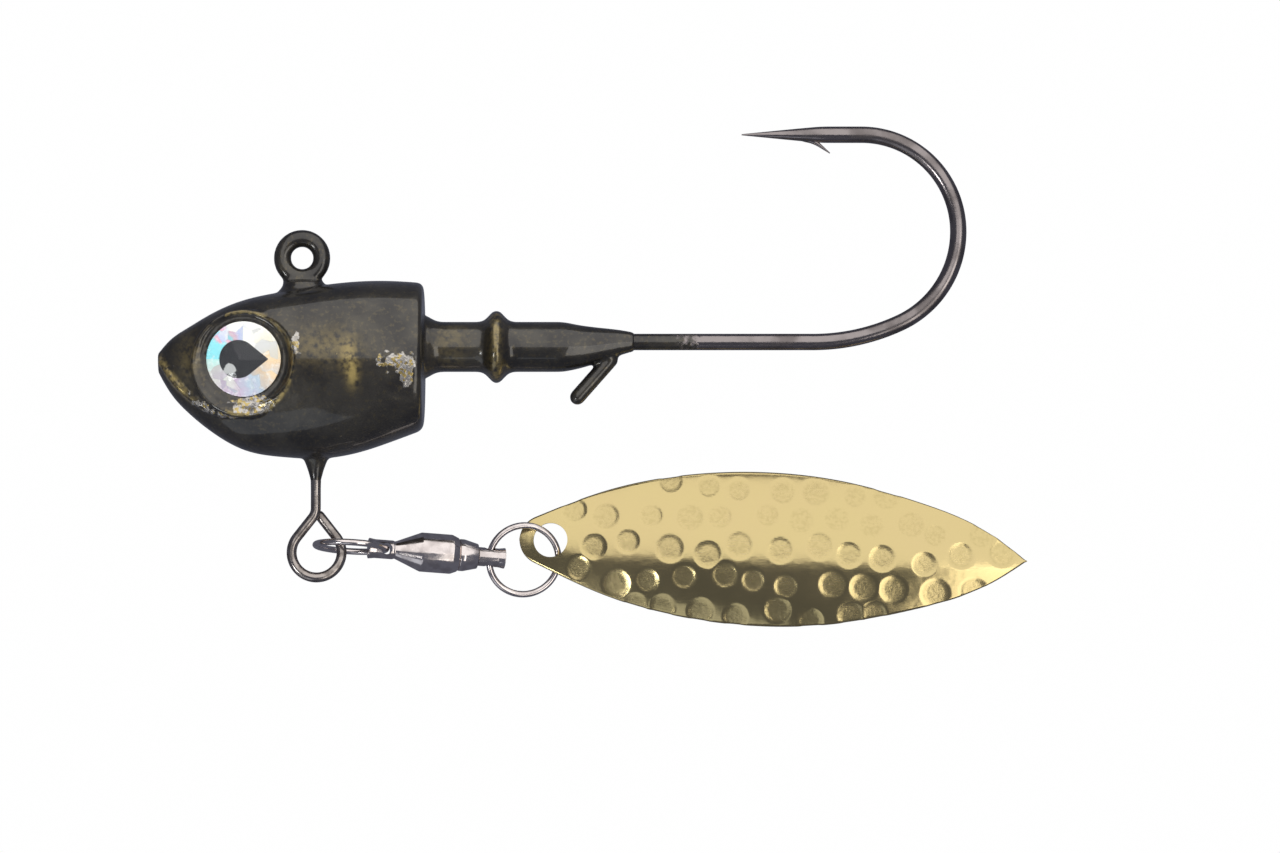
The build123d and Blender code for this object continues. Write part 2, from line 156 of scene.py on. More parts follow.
def rounded(corners: Sequence[Point2], radius: float, steps: int = 5) -> np.ndarray:
    """A flat polyline with each inner corner eased by a quadratic curve between points set back from it.

    Args:
        corners: points of the polyline.
        radius: set-back from each corner, at most 0.45 of the shorter run.
        steps: points on each eased corner.

    Returns:
        The points of the eased line.
    """
    points = np.asarray(corners, float)
    run = np.diff(points, axis=0)
    length = np.linalg.norm(run, axis=1)
    heading = run / length[:, None]
    back = np.minimum(radius, 0.45 * np.minimum(length[:-1], length[1:]))[:, None]
    corner = points[1:-1]
    share = np.linspace(0.0, 1.0, steps)[None, :, None]
    enter = (corner - heading[:-1] * back)[:, None, :]
    leave = (corner + heading[1:] * back)[:, None, :]
    eased = (1 - share) ** 2 * enter + 2 * share * (1 - share) * corner[:, None, :] + share**2 * leave
    return np.vstack([points[:1], eased.reshape(-1, 2), points[-1:]])


def arc(centre: Point2, radius: float, start: float, turn: float, steps: int) -> np.ndarray:
    """Points on a flat arc, which turns anticlockwise when turn is above 0. Angles are in degrees.

    Args:
        centre: middle of the circle.
        radius: radius of the arc.
        start: angle of the first point.
        turn: angle that the arc sweeps.
        steps: number of points.

    Returns:
        The points, in order.
    """
    angle = np.radians(start + turn * np.linspace(0.0, 1.0, steps))
    return np.stack([centre[0] + radius * np.cos(angle), centre[1] + radius * np.sin(angle)], axis=1)


def even_path(points: np.ndarray, spacing: float) -> np.ndarray:
    """The same path with points a given distance apart, read off by length along it.

    Args:
        points: points of the path.
        spacing: distance wanted between points.

    Returns:
        Evenly spaced points.
    """
    length = np.concatenate([[0.0], np.cumsum(np.linalg.norm(np.diff(points, axis=0), axis=1))])
    keep = np.concatenate([[True], np.diff(length) > 1e-9])
    length, points = length[keep], points[keep]
    at = np.linspace(0.0, length[-1], max(3, int(length[-1] / spacing) + 1))
    return np.stack([np.interp(at, length, points[:, axis]) for axis in range(points.shape[1])], axis=1)


def at_height(flat: np.ndarray, height: Union[float, np.ndarray]) -> np.ndarray:
    """Flat points lifted to a height."""
    return np.column_stack([flat, np.broadcast_to(height, len(flat))])


# --- surfaces ------------------------------------------------------------------------------------------


@dataclass
class Surface:
    """A skin on a grid of points. Each row is a closed ring, and the rows follow one another.

    Attributes:
        grid: points, as rows by columns by three.
        ends: whether the last row joins the first, or both rows are shut with a point in their middle.
    """

    grid: np.ndarray
    ends: Ends = Ends.CAPPED

    def mesh_data(self) -> tuple[np.ndarray, list[np.ndarray]]:
        """Vertices, and faces that face outwards for rings that turn left about the way the rows go.

        Returns:
            The vertices and two arrays of faces: quads, and the triangles of the ends.
        """
        rows, columns, _ = self.grid.shape
        index = np.arange(rows * columns).reshape(rows, columns)
        beside = np.roll(index, -1, axis=1)
        after = np.roll(index, -1, axis=0)
        after_beside = np.roll(beside, -1, axis=0)
        quads = np.stack([index, beside, after_beside, after], axis=-1)
        if self.ends is Ends.CAPPED:
            quads = quads[:-1]
        quads = quads.reshape(-1, 4)
        points = self.grid.reshape(-1, 3)
        if self.ends is Ends.JOINED:
            return points, [quads]
        poles = np.stack([self.grid[0].mean(axis=0), self.grid[-1].mean(axis=0)])
        first = len(points)
        start_cap = np.stack([beside[0], index[0], np.full(columns, first)], axis=-1)
        end_cap = np.stack([index[-1], beside[-1], np.full(columns, first + 1)], axis=-1)
        return np.vstack([points, poles]), [quads, np.vstack([start_cap, end_cap])]


def tube(path: np.ndarray, radius: Union[float, np.ndarray], sides: int, ends: Ends = Ends.CAPPED) -> Surface:
    """A round tube: at each point of a path that never runs upright, a circle across the path's heading.

    Args:
        path: points of the centre line.
        radius: one radius, or one for each point.
        sides: points round the tube.
        ends: how the tube is shut.

    Returns:
        The tube's surface.
    """
    if ends is Ends.JOINED:
        heading = unit(np.roll(path, -1, axis=0) - np.roll(path, 1, axis=0))
    else:
        heading = unit(np.gradient(path, axis=0))
    across = unit(np.cross(Z_AXIS, heading))
    up = np.cross(heading, across)
    angle = 2 * pi * np.arange(sides) / sides
    size = np.broadcast_to(radius, len(path))[:, None, None]
    ring = across[:, None, :] * np.cos(angle)[None, :, None] + up[:, None, :] * np.sin(angle)[None, :, None]
    return Surface(path[:, None, :] + size * ring, ends)


def round_tipped(path: np.ndarray, radius: float, sides: int, steps: int = 7) -> Surface:
    """A round tube with half-ball ends: the radius follows a quarter circle over the last radius of each end.

    Args:
        path: points of the centre line, tip to tip.
        radius: radius of the tube.
        sides: points round the tube.
        steps: rings on each round end.

    Returns:
        The tube's surface.
    """
    length = np.concatenate([[0.0], np.cumsum(np.linalg.norm(np.diff(path, axis=0), axis=1))])
    ease = radius * (1 - np.cos(np.linspace(0.0, pi / 2, steps)))
    inner = length[(length > radius) & (length < length[-1] - radius)]
    at = np.unique(np.concatenate([ease, inner, length[-1] - ease]))
    centre = np.stack([np.interp(at, length, path[:, axis]) for axis in range(3)], axis=1)
    from_end = np.minimum(np.minimum(at, length[-1] - at), radius)
    size = np.sqrt(np.maximum(radius**2 - (radius - from_end) ** 2, (0.04 * radius) ** 2))
    return tube(centre, size, sides)


@dataclass(frozen=True)
class Turning:
    """A place to turn a profile about: a point, the axis through it, and a direction across.

    Attributes:
        origin: point on the axis from which distances run.
        axis: direction of the axis.
        across: direction at right angles to it, where the turn starts.
    """

    origin: np.ndarray
    axis: np.ndarray
    across: np.ndarray

    def lathe(self, profile: np.ndarray, sides: int, ends: Ends = Ends.CAPPED) -> Surface:
        """The profile turned about the axis: each of its points draws a circle of its own radius.

        Args:
            profile: distance along the axis and radius of each point.
            sides: points round each circle.
            ends: how the turned surface is shut.

        Returns:
            The turned surface.
        """
        other = np.cross(self.axis, self.across)
        angle = 2 * pi * np.arange(sides) / sides
        ring = self.across * np.cos(angle)[:, None] + other * np.sin(angle)[:, None]
        centre = self.origin + self.axis * profile[:, :1]
        return Surface(centre[:, None, :] + profile[:, 1][:, None, None] * ring[None, :, :], ends)

    def ring(self, radius: float, wire: float, turns: int, sides: int) -> Surface:
        """A ring of round wire about the axis: a small circle carried round a large one.

        Args:
            radius: radius to the middle of the wire.
            wire: diameter of the wire.
            turns: points round the ring.
            sides: points round the wire.

        Returns:
            The ring's surface.
        """
        other = np.cross(self.axis, self.across)
        turn = 2 * pi * np.arange(turns) / turns
        out = self.across * np.cos(turn)[:, None] + other * np.sin(turn)[:, None]
        angle = 2 * pi * np.arange(sides) / sides
        reach = radius + wire / 2 * np.cos(angle)
        lift = wire / 2 * np.sin(angle)
        grid = out[:, None, :] * reach[None, :, None] - self.axis * lift[None, :, None]
        return Surface(self.origin + grid, Ends.JOINED)


def make_object(name: str, surfaces: Sequence[Surface], sharp: float = 40.0) -> bpy.types.Object:
    """One object from several closed surfaces, in metres, smooth but for edges sharper than a given angle.

    Args:
        name: name of the object and its mesh.
        surfaces: the surfaces, in millimetres.
        sharp: angle in degrees above which an edge stays crisp.

    Returns:
        The new object, at the origin.
    """
    points = []
    faces = []
    start = 0
    for surface in surfaces:
        vertices, groups = surface.mesh_data()
        points.append(vertices)
        faces += [group + start for group in groups]
        start += len(vertices)
    mesh = bpy.data.meshes.new(name)
    vertices = np.vstack(points) * MM
    corner_count = np.concatenate([np.full(len(group), group.shape[1]) for group in faces])
    corners = np.concatenate([group.reshape(-1) for group in faces])
    mesh.vertices.add(len(vertices))
    mesh.vertices.foreach_set("co", vertices.astype(np.float32).reshape(-1))
    mesh.loops.add(len(corners))
    mesh.loops.foreach_set("vertex_index", corners.astype(np.int32))
    mesh.polygons.add(len(corner_count))
    loop_start = np.concatenate([[0], np.cumsum(corner_count)[:-1]])
    mesh.polygons.foreach_set("loop_start", loop_start.astype(np.int32))
    mesh.update(calc_edges=True)
    mesh.validate()
    mesh.shade_smooth()
    mesh.set_sharp_from_angle(angle=radians(sharp))
    made = bpy.data.objects.new(name, mesh)
    bpy.context.scene.collection.objects.link(made)
    return made


def settle(made: bpy.types.Object, sharp: float = 40.0) -> bpy.types.Object:
    """The object with its modifiers made part of its mesh.

    Args:
        made: object with live modifiers.
        sharp: angle in degrees above which an edge stays crisp.

    Returns:
        The same object, without modifiers.
    """
    depsgraph = bpy.context.evaluated_depsgraph_get()
    mesh = bpy.data.meshes.new_from_object(made.evaluated_get(depsgraph))
    made.modifiers.clear()
    old, made.data = made.data, mesh
    mesh.name = made.name
    bpy.data.meshes.remove(old)
    mesh.shade_smooth()
    mesh.set_sharp_from_angle(angle=radians(sharp))
    return made


def drill(made: bpy.types.Object, cutter: Surface) -> bpy.types.Object:
    """The object with a closed surface cut out of it.

    Args:
        made: object to cut.
        cutter: surface of what is taken away.

    Returns:
        The same object, cut.
    """
    tool = make_object("cutter", [cutter])
    cut = made.modifiers.new("cut", "BOOLEAN")
    cut.operation = "DIFFERENCE"
    cut.solver = "EXACT"
    cut.object = tool
    settle(made)
    tool_mesh = tool.data
    bpy.data.objects.remove(tool)
    bpy.data.meshes.remove(tool_mesh)
    return made


def vertex_places(mesh: bpy.types.Mesh) -> np.ndarray:
    """The mesh's vertices in millimetres.

    Args:
        mesh: mesh to read.

    Returns:
        One row for each vertex.
    """
    places = np.zeros(len(mesh.vertices) * 3, np.float32)
    mesh.vertices.foreach_get("co", places)
    return places.reshape(-1, 3).astype(float) / MM


def set_vertex_places(mesh: bpy.types.Mesh, places: np.ndarray) -> None:
    """Moves the mesh's vertices to places in millimetres."""
    mesh.vertices.foreach_set("co", (places * MM).astype(np.float32).reshape(-1))
    mesh.update()


def set_mark(mesh: bpy.types.Mesh, name: str, values: np.ndarray) -> None:
    """Writes one number for each vertex as a named attribute, for a finish to read."""
    mark = mesh.attributes.new(name, "FLOAT", "POINT")
    mark.data.foreach_set("value", values.astype(np.float32))


# --- shader board --------------------------------------------------------------------------------------


class Wire:
    """A socket of a shader board, which takes part in sums with numbers and other sockets."""

    def __init__(self, board: "Board", socket: bpy.types.NodeSocket) -> None:
        """Wraps a socket of a board's node."""
        self.board = board
        self.socket = socket

    def _sum(self, operation: str, first: Any, second: Any) -> "Wire":
        """A Math node on two values."""
        return self.board.node("Math", {"operation": operation}, {0: first, 1: second}).wire("Value")

    def __add__(self, other: Any) -> "Wire":
        """Self plus other."""
        return self._sum("ADD", self, other)

    def __sub__(self, other: Any) -> "Wire":
        """Self less other."""
        return self._sum("SUBTRACT", self, other)

    def __rsub__(self, other: Any) -> "Wire":
        """Other less self."""
        return self._sum("SUBTRACT", other, self)

    def __mul__(self, other: Any) -> "Wire":
        """Self times other."""
        return self._sum("MULTIPLY", self, other)

    __radd__ = __add__
    __rmul__ = __mul__

    def between(self, low: float, high: float) -> "Wire":
        """An eased share, 0 at low and 1 at high, clipped outside.

        Args:
            low: value that gives 0.
            high: value that gives 1.

        Returns:
            The share.
        """
        settings = {"interpolation_type": "SMOOTHSTEP", "clamp": True}
        values = {"Value": self, "From Min": low, "From Max": high}
        return self.board.node("MapRange", settings, values).wire("Result")


class Placed:
    """A node that has been placed on a board."""

    def __init__(self, board: "Board", node: bpy.types.Node) -> None:
        """Wraps a node of a board."""
        self.board = board
        self.node = node

    def wire(self, name: Union[str, int]) -> Wire:
        """The node's output of that name."""
        return Wire(self.board, self.node.outputs[name])


class Board:
    """The node tree of one finish."""

    def __init__(self, name: str) -> None:
        """Starts an empty material.

        Args:
            name: name of the material.
        """
        self.material = bpy.data.materials.new(name)
        self.material.use_nodes = True
        self.tree = self.material.node_tree
        self.tree.nodes.clear()

    def node(self, kind: str, settings: Mapping[str, Any], values: Mapping[Union[str, int], Any]) -> Placed:
        """Places a node: its settings first, then the values or wires of its sockets.

        Args:
            kind: type of the node, without the words that all shader nodes start with.
            settings: properties of the node; "stops" holds the places and colours of a ramp.
            values: socket names or numbers, each with a number, colour, vector or wire.

        Returns:
            The placed node.
        """
        node = self.tree.nodes.new("ShaderNode" + kind)
        for key, setting in settings.items():
            if key == "stops":
                self._set_stops(node, setting)
            else:
                setattr(node, key, setting)
        for key, value in values.items():
            socket = self._input(node, key)
            if isinstance(value, Wire):
                self.tree.links.new(value.socket, socket)
            elif isinstance(value, tuple) and len(value) == 3 and socket.type == "RGBA":
                socket.default_value = (*value, 1.0)
            else:
                socket.default_value = value
        return Placed(self, node)

    @staticmethod
    def _input(node: bpy.types.Node, key: Union[str, int]) -> bpy.types.NodeSocket:
        """The enabled input of that name, because a Mix node holds one for each type under one name.

        Args:
            node: node to look on.
            key: name or number of the input.

        Returns:
            The input.
        """
        if isinstance(key, int):
            return node.inputs[key]
        return next(socket for socket in node.inputs if socket.name == key and socket.enabled)

    @staticmethod
    def _set_stops(node: bpy.types.Node, stops: Sequence[tuple[float, Colour]]) -> None:
        """Gives a colour ramp its stops.

        Args:
            node: ramp node.
            stops: place and colour of each stop, in order.
        """
        ramp = node.color_ramp
        while len(ramp.elements) < len(stops):
            ramp.elements.new(1.0)
        for element, (place, colour) in zip(ramp.elements, stops):
            element.position = place
            element.color = (*colour, 1.0)

    def place(self) -> Wire:
        """Object coordinates."""
        return self.node("TexCoord", {}, {}).wire("Object")

    def axes(self, place: Wire) -> tuple[Wire, Wire, Wire]:
        """The three parts of a vector."""
        split = self.node("SeparateXYZ", {}, {0: place})
        return split.wire("X"), split.wire("Y"), split.wire("Z")

    def stretched(self, place: Wire, scale: Point3) -> Wire:
        """A place with each axis scaled."""
        return self.node("VectorMath", {"operation": "MULTIPLY"}, {0: place, 1: scale}).wire("Vector")

    def noise(self, place: Wire, size: float, detail: float = 3.0) -> Wire:
        """Cloudy noise from 0 to 1 whose lumps are about size millimetres.

        Args:
            place: where the pattern is read.
            size: size of a lump.
            detail: number of finer layers.

        Returns:
            The noise.
        """
        values = {"Vector": place, "Scale": 1 / (size * MM), "Detail": detail}
        return self.node("TexNoise", {}, values).wire("Fac")

    def grains(self, place: Wire, size: float) -> Placed:
        """Cells of about size millimetres, each with a colour of its own."""
        return self.node("TexVoronoi", {}, {"Vector": place, "Scale": 1 / (size * MM)})

    def mark(self, name: str) -> Wire:
        """A number that the mesh carries at each vertex."""
        return self.node("Attribute", {"attribute_name": name}, {}).wire("Fac")

    def blend(self, share: Any, first: Any, second: Any) -> Wire:
        """A colour between two, the first at 0 and the second at 1.

        Args:
            share: share of the second colour.
            first: colour or wire.
            second: colour or wire.

        Returns:
            The mixed colour.
        """
        settings = {"data_type": "RGBA", "clamp_factor": True}
        mix = self.node("Mix", settings, {"Factor": share, "A": first, "B": second})
        return Wire(self, self._output(mix.node))

    @staticmethod
    def _output(node: bpy.types.Node) -> bpy.types.NodeSocket:
        """The enabled output of a Mix node."""
        return next(socket for socket in node.outputs if socket.enabled)

    def bump(self, height: Wire, depth: float) -> Wire:
        """A normal bent by a height from 0 to 1 that stands for depth millimetres.

        Args:
            height: height over the surface.
            depth: what a height of 1 measures.

        Returns:
            The bent normal.
        """
        values = {"Height": height, "Distance": depth * MM, "Strength": 1.0}
        return self.node("Bump", {}, values).wire("Normal")

    def finish(self, shader: Placed, output: str = "BSDF") -> bpy.types.Material:
        """Leads a shader to the surface and returns the material."""
        self.node("OutputMaterial", {}, {"Surface": shader.wire(output)})
        return self.material


# --- finishes ------------------------------------------------------------------------------------------


@dataclass(frozen=True)
class PearlPaint:
    """Black-olive pearl powder paint with a gold cast, gold powder, silver sparkle, painted gold and silver
    highlights, and a wet clear coat.

    Attributes:
        dark: colour of the paint in its thin places.
        olive: colour of the paint where the pearl lies thick.
        gold: colour of the gold powder and of the painted gold highlights.
        silver: colour of the sparkle and of the painted silver highlights.
    """

    dark: Colour = (0.040, 0.037, 0.034)
    olive: Colour = (0.078, 0.071, 0.058)
    gold: Colour = (0.62, 0.47, 0.17)
    silver: Colour = (0.60, 0.565, 0.51)

    def colours(self, board: Board, place: Wire) -> tuple[Wire, Wire]:
        """The paint's colour and how rough its pearl is.

        Args:
            board: board to place the nodes on.
            place: where the pattern is read.

        Returns:
            The colour and the roughness.
        """
        cloud = board.noise(place, 2.6, 4.0).between(0.35, 0.68)
        base = board.blend(cloud, self.dark, self.olive)
        bright = board.noise(place, 0.32, 5.0).between(0.50, 0.74)
        base = board.blend(bright * 0.08, base, self.gold)
        rough = 0.36 - bright * 0.08
        return base, rough

    def material(self) -> bpy.types.Material:
        """The finish as a material, which reads two vertex marks: gold powder mixed with painted gold
        highlights, and silver sparkle mixed with painted silver highlights.

        Returns:
            The material.
        """
        board = Board("painted_lead")
        place = board.place()
        base, rough = self.colours(board, place)
        # Gold powder here, and in some places a painted gold highlight, as the mark carries both.
        dust_and_highlight = board.mark("dust_and_highlight") * board.noise(place, 0.5, 3.0).between(0.30, 0.62)
        base = board.blend(dust_and_highlight, base, self.gold)
        cells = board.grains(place, 0.22).wire("Color")
        sparkle = board.axes(cells)[1].between(0.0, 0.40) * 0.40 + 0.60
        # Silver sparkle here, and in some places a painted silver highlight, as the mark carries both.
        patch = board.noise(place, 0.55, 4.0) + board.mark("glitter_and_highlight") * 0.42
        glitter_and_highlight = patch.between(0.74, 0.87) * sparkle
        warm = board.axes(cells)[2].between(0.66, 0.76)
        base = board.blend(glitter_and_highlight, base, board.blend(warm, self.silver, self.gold))
        peel = board.noise(place, 0.9, 2.0) + board.noise(place, 0.36, 2.0) * (glitter_and_highlight * 0.7 + 0.06)
        values = {
            "Base Color": base,
            "Metallic": 0.9,
            "Roughness": rough - glitter_and_highlight * 0.10,
            "Coat Weight": 1.0,
            "Coat Roughness": 0.07,
            "Coat IOR": 1.5,
            "Normal": board.bump(peel, 0.05),
        }
        return board.finish(board.node("BsdfPrincipled", {}, values))


@dataclass(frozen=True)
class PlatedSteel:
    """Plated steel with drawn lines, faint stains and fine rubbing marks.

    Attributes:
        name: name of the material.
        bright: colour where the plating is clean.
        dull: colour where it is stained.
        rough: smallest roughness.
        spread: how much rougher the stained places are.
        size: size of the stains in millimetres.
        paint_until: place along X, in millimetres, up to which overspray covers the steel, or None.
    """

    name: str
    bright: Colour
    dull: Colour
    rough: float = 0.14
    spread: float = 0.14
    size: float = 1.2
    paint_until: Union[float, None] = None

    def material(self) -> bpy.types.Material:
        """The finish as a material.

        Returns:
            The material.
        """
        board = Board(self.name)
        place = board.place()
        stain = board.noise(place, self.size, 4.0).between(0.38, 0.66)
        scratch = board.noise(board.stretched(place, (0.35, 1.6, 1.6)), 0.16, 4.0)
        base = board.blend(stain, self.bright, self.dull)
        rough: Any = self.rough + stain * self.spread + scratch.between(0.45, 0.75) * 0.06
        metal = 1.0
        coat = 0.0
        height = scratch
        depth = 0.002
        if self.paint_until is not None:
            ragged = board.noise(place, 0.35, 4.0) * 5.0 + board.noise(place, 2.4, 2.0) * 3.0
            ripple = board.noise(place, 0.45, 2.0)
            along = board.axes(place)[0] * (1 / MM)
            cover = (self.paint_until - along + ragged).between(3.2, 4.8)
            paint, paint_rough = PearlPaint().colours(board, place)
            base = board.blend(cover, base, paint)
            rough = rough * (1 - cover) + paint_rough * cover
            metal = 1 - cover * 0.1
            coat = cover
            height = scratch * 0.25 * (1 - cover) + (ripple * 2.0 + 1.0) * cover
            depth = 0.02
        values = {
            "Base Color": base,
            "Metallic": metal,
            "Roughness": rough,
            "Coat Weight": coat,
            "Coat Roughness": 0.08,
            "Normal": board.bump(height, depth),
        }
        return board.finish(board.node("BsdfPrincipled", {}, values))


@dataclass(frozen=True)
class PolishedGold:
    """Gold plate on a hammered blade: bright lands, and grainy hollows where the hammer struck.

    Attributes:
        gold: colour of the lands.
        warm: colour of the clouds in the plating.
        deep: colour of the hollows' grain.
    """

    gold: Colour = (0.70, 0.565, 0.265)
    warm: Colour = (0.72, 0.55, 0.29)
    deep: Colour = (0.56, 0.45, 0.20)

    def material(self) -> bpy.types.Material:
        """The finish as a material, which reads the mark named struck.

        Returns:
            The material.
        """
        board = Board("gold_blade")
        place = board.place()
        struck = board.mark("struck")
        grain = board.noise(place, 0.28, 4.0)
        cloud = board.noise(place, 5.0, 3.0).between(0.35, 0.70)
        tarnish = struck * grain.between(0.40, 0.66)
        base = board.blend(cloud * 0.2, self.gold, self.warm)
        base = board.blend(tarnish * 0.45, base, self.deep)
        hair = board.noise(board.stretched(place, (0.25, 2.0, 1.0)), 0.22, 3.0)
        rough = 0.13 + cloud * 0.05 + struck * 0.10 + hair.between(0.5, 0.8) * 0.05
        height = struck * grain * 0.42 + hair * 0.05 + board.noise(place, 1.6, 2.0) * 0.6
        values = {
            "Base Color": base,
            "Metallic": 1.0,
            "Roughness": rough,
            "Normal": board.bump(height, 0.035),
        }
        return board.finish(board.node("BsdfPrincipled", {}, values))


@dataclass(frozen=True)
class PrismFoil:
    """Silver foil that breaks light into soft bands of colour round the eye.

    Attributes:
        centre: middle of the eye, in millimetres.
        glare: colour of its bright flecks.
        shade: colour of its darkest shards.
        bands: share of the turn round the eye, and the colour there.
    """

    centre: Point3
    glare: Colour = (0.96, 0.96, 0.93)
    shade: Colour = (0.34, 0.34, 0.36)
    bands: Sequence[tuple[float, Colour]] = (
        (0.00, (0.32, 0.84, 0.88)),
        (0.09, (0.58, 0.88, 0.80)),
        (0.20, (0.74, 0.72, 0.65)),
        (0.30, (0.62, 0.48, 0.60)),
        (0.40, (0.52, 0.62, 0.70)),
        (0.48, (0.70, 0.65, 0.60)),
        (0.56, (0.94, 0.68, 0.40)),
        (0.64, (0.94, 0.84, 0.62)),
        (0.74, (0.96, 0.93, 0.85)),
        (0.86, (0.96, 0.93, 0.85)),
        (0.93, (0.58, 0.65, 0.92)),
        (0.98, (0.95, 0.50, 0.58)),
        (1.00, (0.32, 0.84, 0.88)),
    )

    def material(self, side: Side) -> bpy.types.Material:
        """The finish as a material for the eye on one side.

        Args:
            side: cheek that the eye is on, which names the material.

        Returns:
            The material.
        """
        board = Board("eye_foil_" + side.name.lower())
        place = board.place()
        centre = tuple(value * MM for value in self.centre)
        local = board.node("VectorMath", {"operation": "SUBTRACT"}, {0: place, 1: centre}).wire("Vector")
        x_part, y_part, _ = board.axes(local)
        angle = board.node("Math", {"operation": "ARCTAN2"}, {0: y_part, 1: x_part}).wire("Value")
        turn = angle * (0.5 / pi) + 0.5
        shard = board.grains(board.stretched(local, (1.0, 1.0, 0.0)), 0.85)
        flat = board.axes(shard.wire("Color"))[0]
        swing = turn + flat * 0.14 + board.noise(place, 0.5, 2.0) * 0.06
        colour = board.node("ValToRGB", {"stops": self.bands}, {0: swing}).wire("Color")
        fleck = board.noise(place, 0.35, 3.0).between(0.52, 0.70)
        base = board.blend(fleck * 0.45, colour, self.glare)
        base = board.blend(flat.between(0.72, 0.95) * 0.35, base, self.shade)
        height = flat + board.noise(place, 0.12, 2.0) * 0.3
        values = {
            "Base Color": base,
            "Metallic": 0.2,
            "Roughness": 0.24 + flat * 0.12,
            "Normal": board.bump(height, 0.03),
        }
        return board.finish(board.node("BsdfPrincipled", {}, values))


@dataclass(frozen=True)
class PupilPrint:
    """Black ink printed on the foil, with a few bare specks, and a painted highlight: a patch of the bare
    colour low at the pupil's front.

    Attributes:
        centre: middle of the eye, in millimetres.
        ink: colour of the ink.
        bare: colour of the foil where it shows, and of the painted highlight.
        patch: middle of the painted highlight from the eye's middle.
        reach: size of the patch.
    """

    centre: Point3
    ink: Colour = (0.008, 0.008, 0.010)
    bare: Colour = (0.46, 0.46, 0.44)
    patch: Point2 = (-1.1, -0.80)
    reach: float = 0.62

    def material(self, side: Side) -> bpy.types.Material:
        """The finish as a material for the eye on one side.

        Args:
            side: cheek that the eye is on, which names the material.

        Returns:
            The material.
        """
        board = Board("eye_print_" + side.name.lower())
        place = board.place()
        middle = (self.centre[0] + self.patch[0], self.centre[1] + self.patch[1], self.centre[2])
        centre = tuple(value * MM for value in middle)
        local = board.node("VectorMath", {"operation": "SUBTRACT"}, {0: place, 1: centre}).wire("Vector")
        flat = board.stretched(local, (1 / MM, 1 / MM, 0.0))
        away = board.node("VectorMath", {"operation": "LENGTH"}, {0: flat}).wire("Value") * (1 / self.reach)
        # Painted highlight: a ragged patch of the bare colour on the ink.
        painted_highlight = 1 - (away + board.noise(place, 0.5, 3.0) * 1.6).between(1.45, 1.65)
        specks_and_highlight = board.noise(place, 0.22, 3.0).between(0.70, 0.76) + painted_highlight
        base = board.blend(specks_and_highlight, self.ink, self.bare)
        rough = 0.30 + board.noise(place, 0.8, 2.0) * 0.15
        normal = board.bump(board.noise(place, 0.15, 2.0), 0.006)
        values = {"Base Color": base, "Roughness": rough, "Normal": normal}
        return board.finish(board.node("BsdfPrincipled", {}, values))


@dataclass(frozen=True)
class ClearResin:
    """Clear resin dome: light passes straight through, and its skin mirrors a little, more at a slant.

    Attributes:
        tint: colour of the light that passes.
        most: greatest share that the skin mirrors, so that light still leaves the dome at a slant.
        index: refractive index of the resin.
    """

    tint: Colour = (0.98, 0.99, 1.0)
    most: float = 0.2
    index: float = 1.38

    def material(self) -> bpy.types.Material:
        """The finish as a material.

        Returns:
            The material.
        """
        board = Board("eye_resin")
        place = board.place()
        normal = board.bump(board.noise(place, 1.1, 2.0), 0.012)
        rough = 0.02 + board.noise(place, 0.4, 2.0) * 0.04
        gloss = {"Color": (1.0, 1.0, 1.0), "Roughness": rough, "Normal": normal}
        skin = board.node("BsdfGlossy", {}, gloss)
        through = board.node("BsdfTransparent", {}, {"Color": self.tint})
        mirror = board.node("Fresnel", {}, {"IOR": self.index, "Normal": normal}).wire("Fac")
        share = board.node("Math", {"operation": "MINIMUM"}, {0: mirror, 1: self.most}).wire("Value")
        values = {0: share, 1: through.wire("BSDF"), 2: skin.wire("BSDF")}
        return board.finish(board.node("MixShader", {}, values), "Shader")


# --- frame facts ---------------------------------------------------------------------------------------


@dataclass
class Frame:
    """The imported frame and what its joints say.

    Attributes:
    """

    loaded: Mapping[str, Any]

    def joint(self, name: str) -> tuple[np.ndarray, np.ndarray]:
        """A joint's point and axis.

        Args:
            name: name of the joint.

        Returns:
            The point, in millimetres, and the unit axis.
        """
        found = next(joint for joint in self.loaded["joints"] if joint["name"] == name)
        return np.array(found["pos_m"], float) / MM, unit(found["axis"])

    def low(self, node: str) -> np.ndarray:
        """The lowest corner of a CAD node, in millimetres."""
        return np.array(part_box(node)[0]) / MM

    def high(self, node: str) -> np.ndarray:
        """The highest corner of a CAD node, in millimetres."""
        return np.array(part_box(node)[1]) / MM


def place_piece(
    made: bpy.types.Object, body: str, material: bpy.types.Material, nodes: Sequence[str] = ()
) -> bpy.types.Object:
    """Dresses a finished piece and hands it to the frame.

    Args:
        made: the piece.
        body: CAD body that it rides on.
        material: its finish.
        nodes: CAD nodes that it stands for.

    Returns:
        The piece.
    """
    made.data.materials.clear()
    made.data.materials.append(material)
    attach(made, body)
    if nodes:
        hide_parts(*nodes)
    log.info("%s: %d faces on %s", made.name, len(made.data.polygons), body)
    return made


# --- painted casting -----------------------------------------------------------------------------------


@dataclass
class EyeSeat:
    """Where an eye sits on a cheek.

    Attributes:
        x: place of the eye along the head.
        y: place of the eye up the head.
        depth: distance of the seat from the plane of symmetry.
        turn: degrees that the eye looks forward.
        radius: radius of the foil.
    """

    x: float = -27.4
    y: float = 1.45
    depth: float = 3.62
    turn: float = 7.0
    radius: float = 2.95

    def turning(self, side: Side, mid_z: float) -> Turning:
        """The eye's centre on its seat and the direction that it looks.

        Args:
            side: cheek that the eye is on.
            mid_z: height of the plane of symmetry.

        Returns:
            The place to turn the eye's parts about.
        """
        lean = radians(self.turn)
        axis = np.array([-sin(lean), 0.0, side.value * np.cos(lean)])
        origin = np.array([self.x, self.y, mid_z + side.value * self.depth])
        across = np.array([np.cos(lean), 0.0, side.value * sin(lean)])
        return Turning(origin, axis, across)


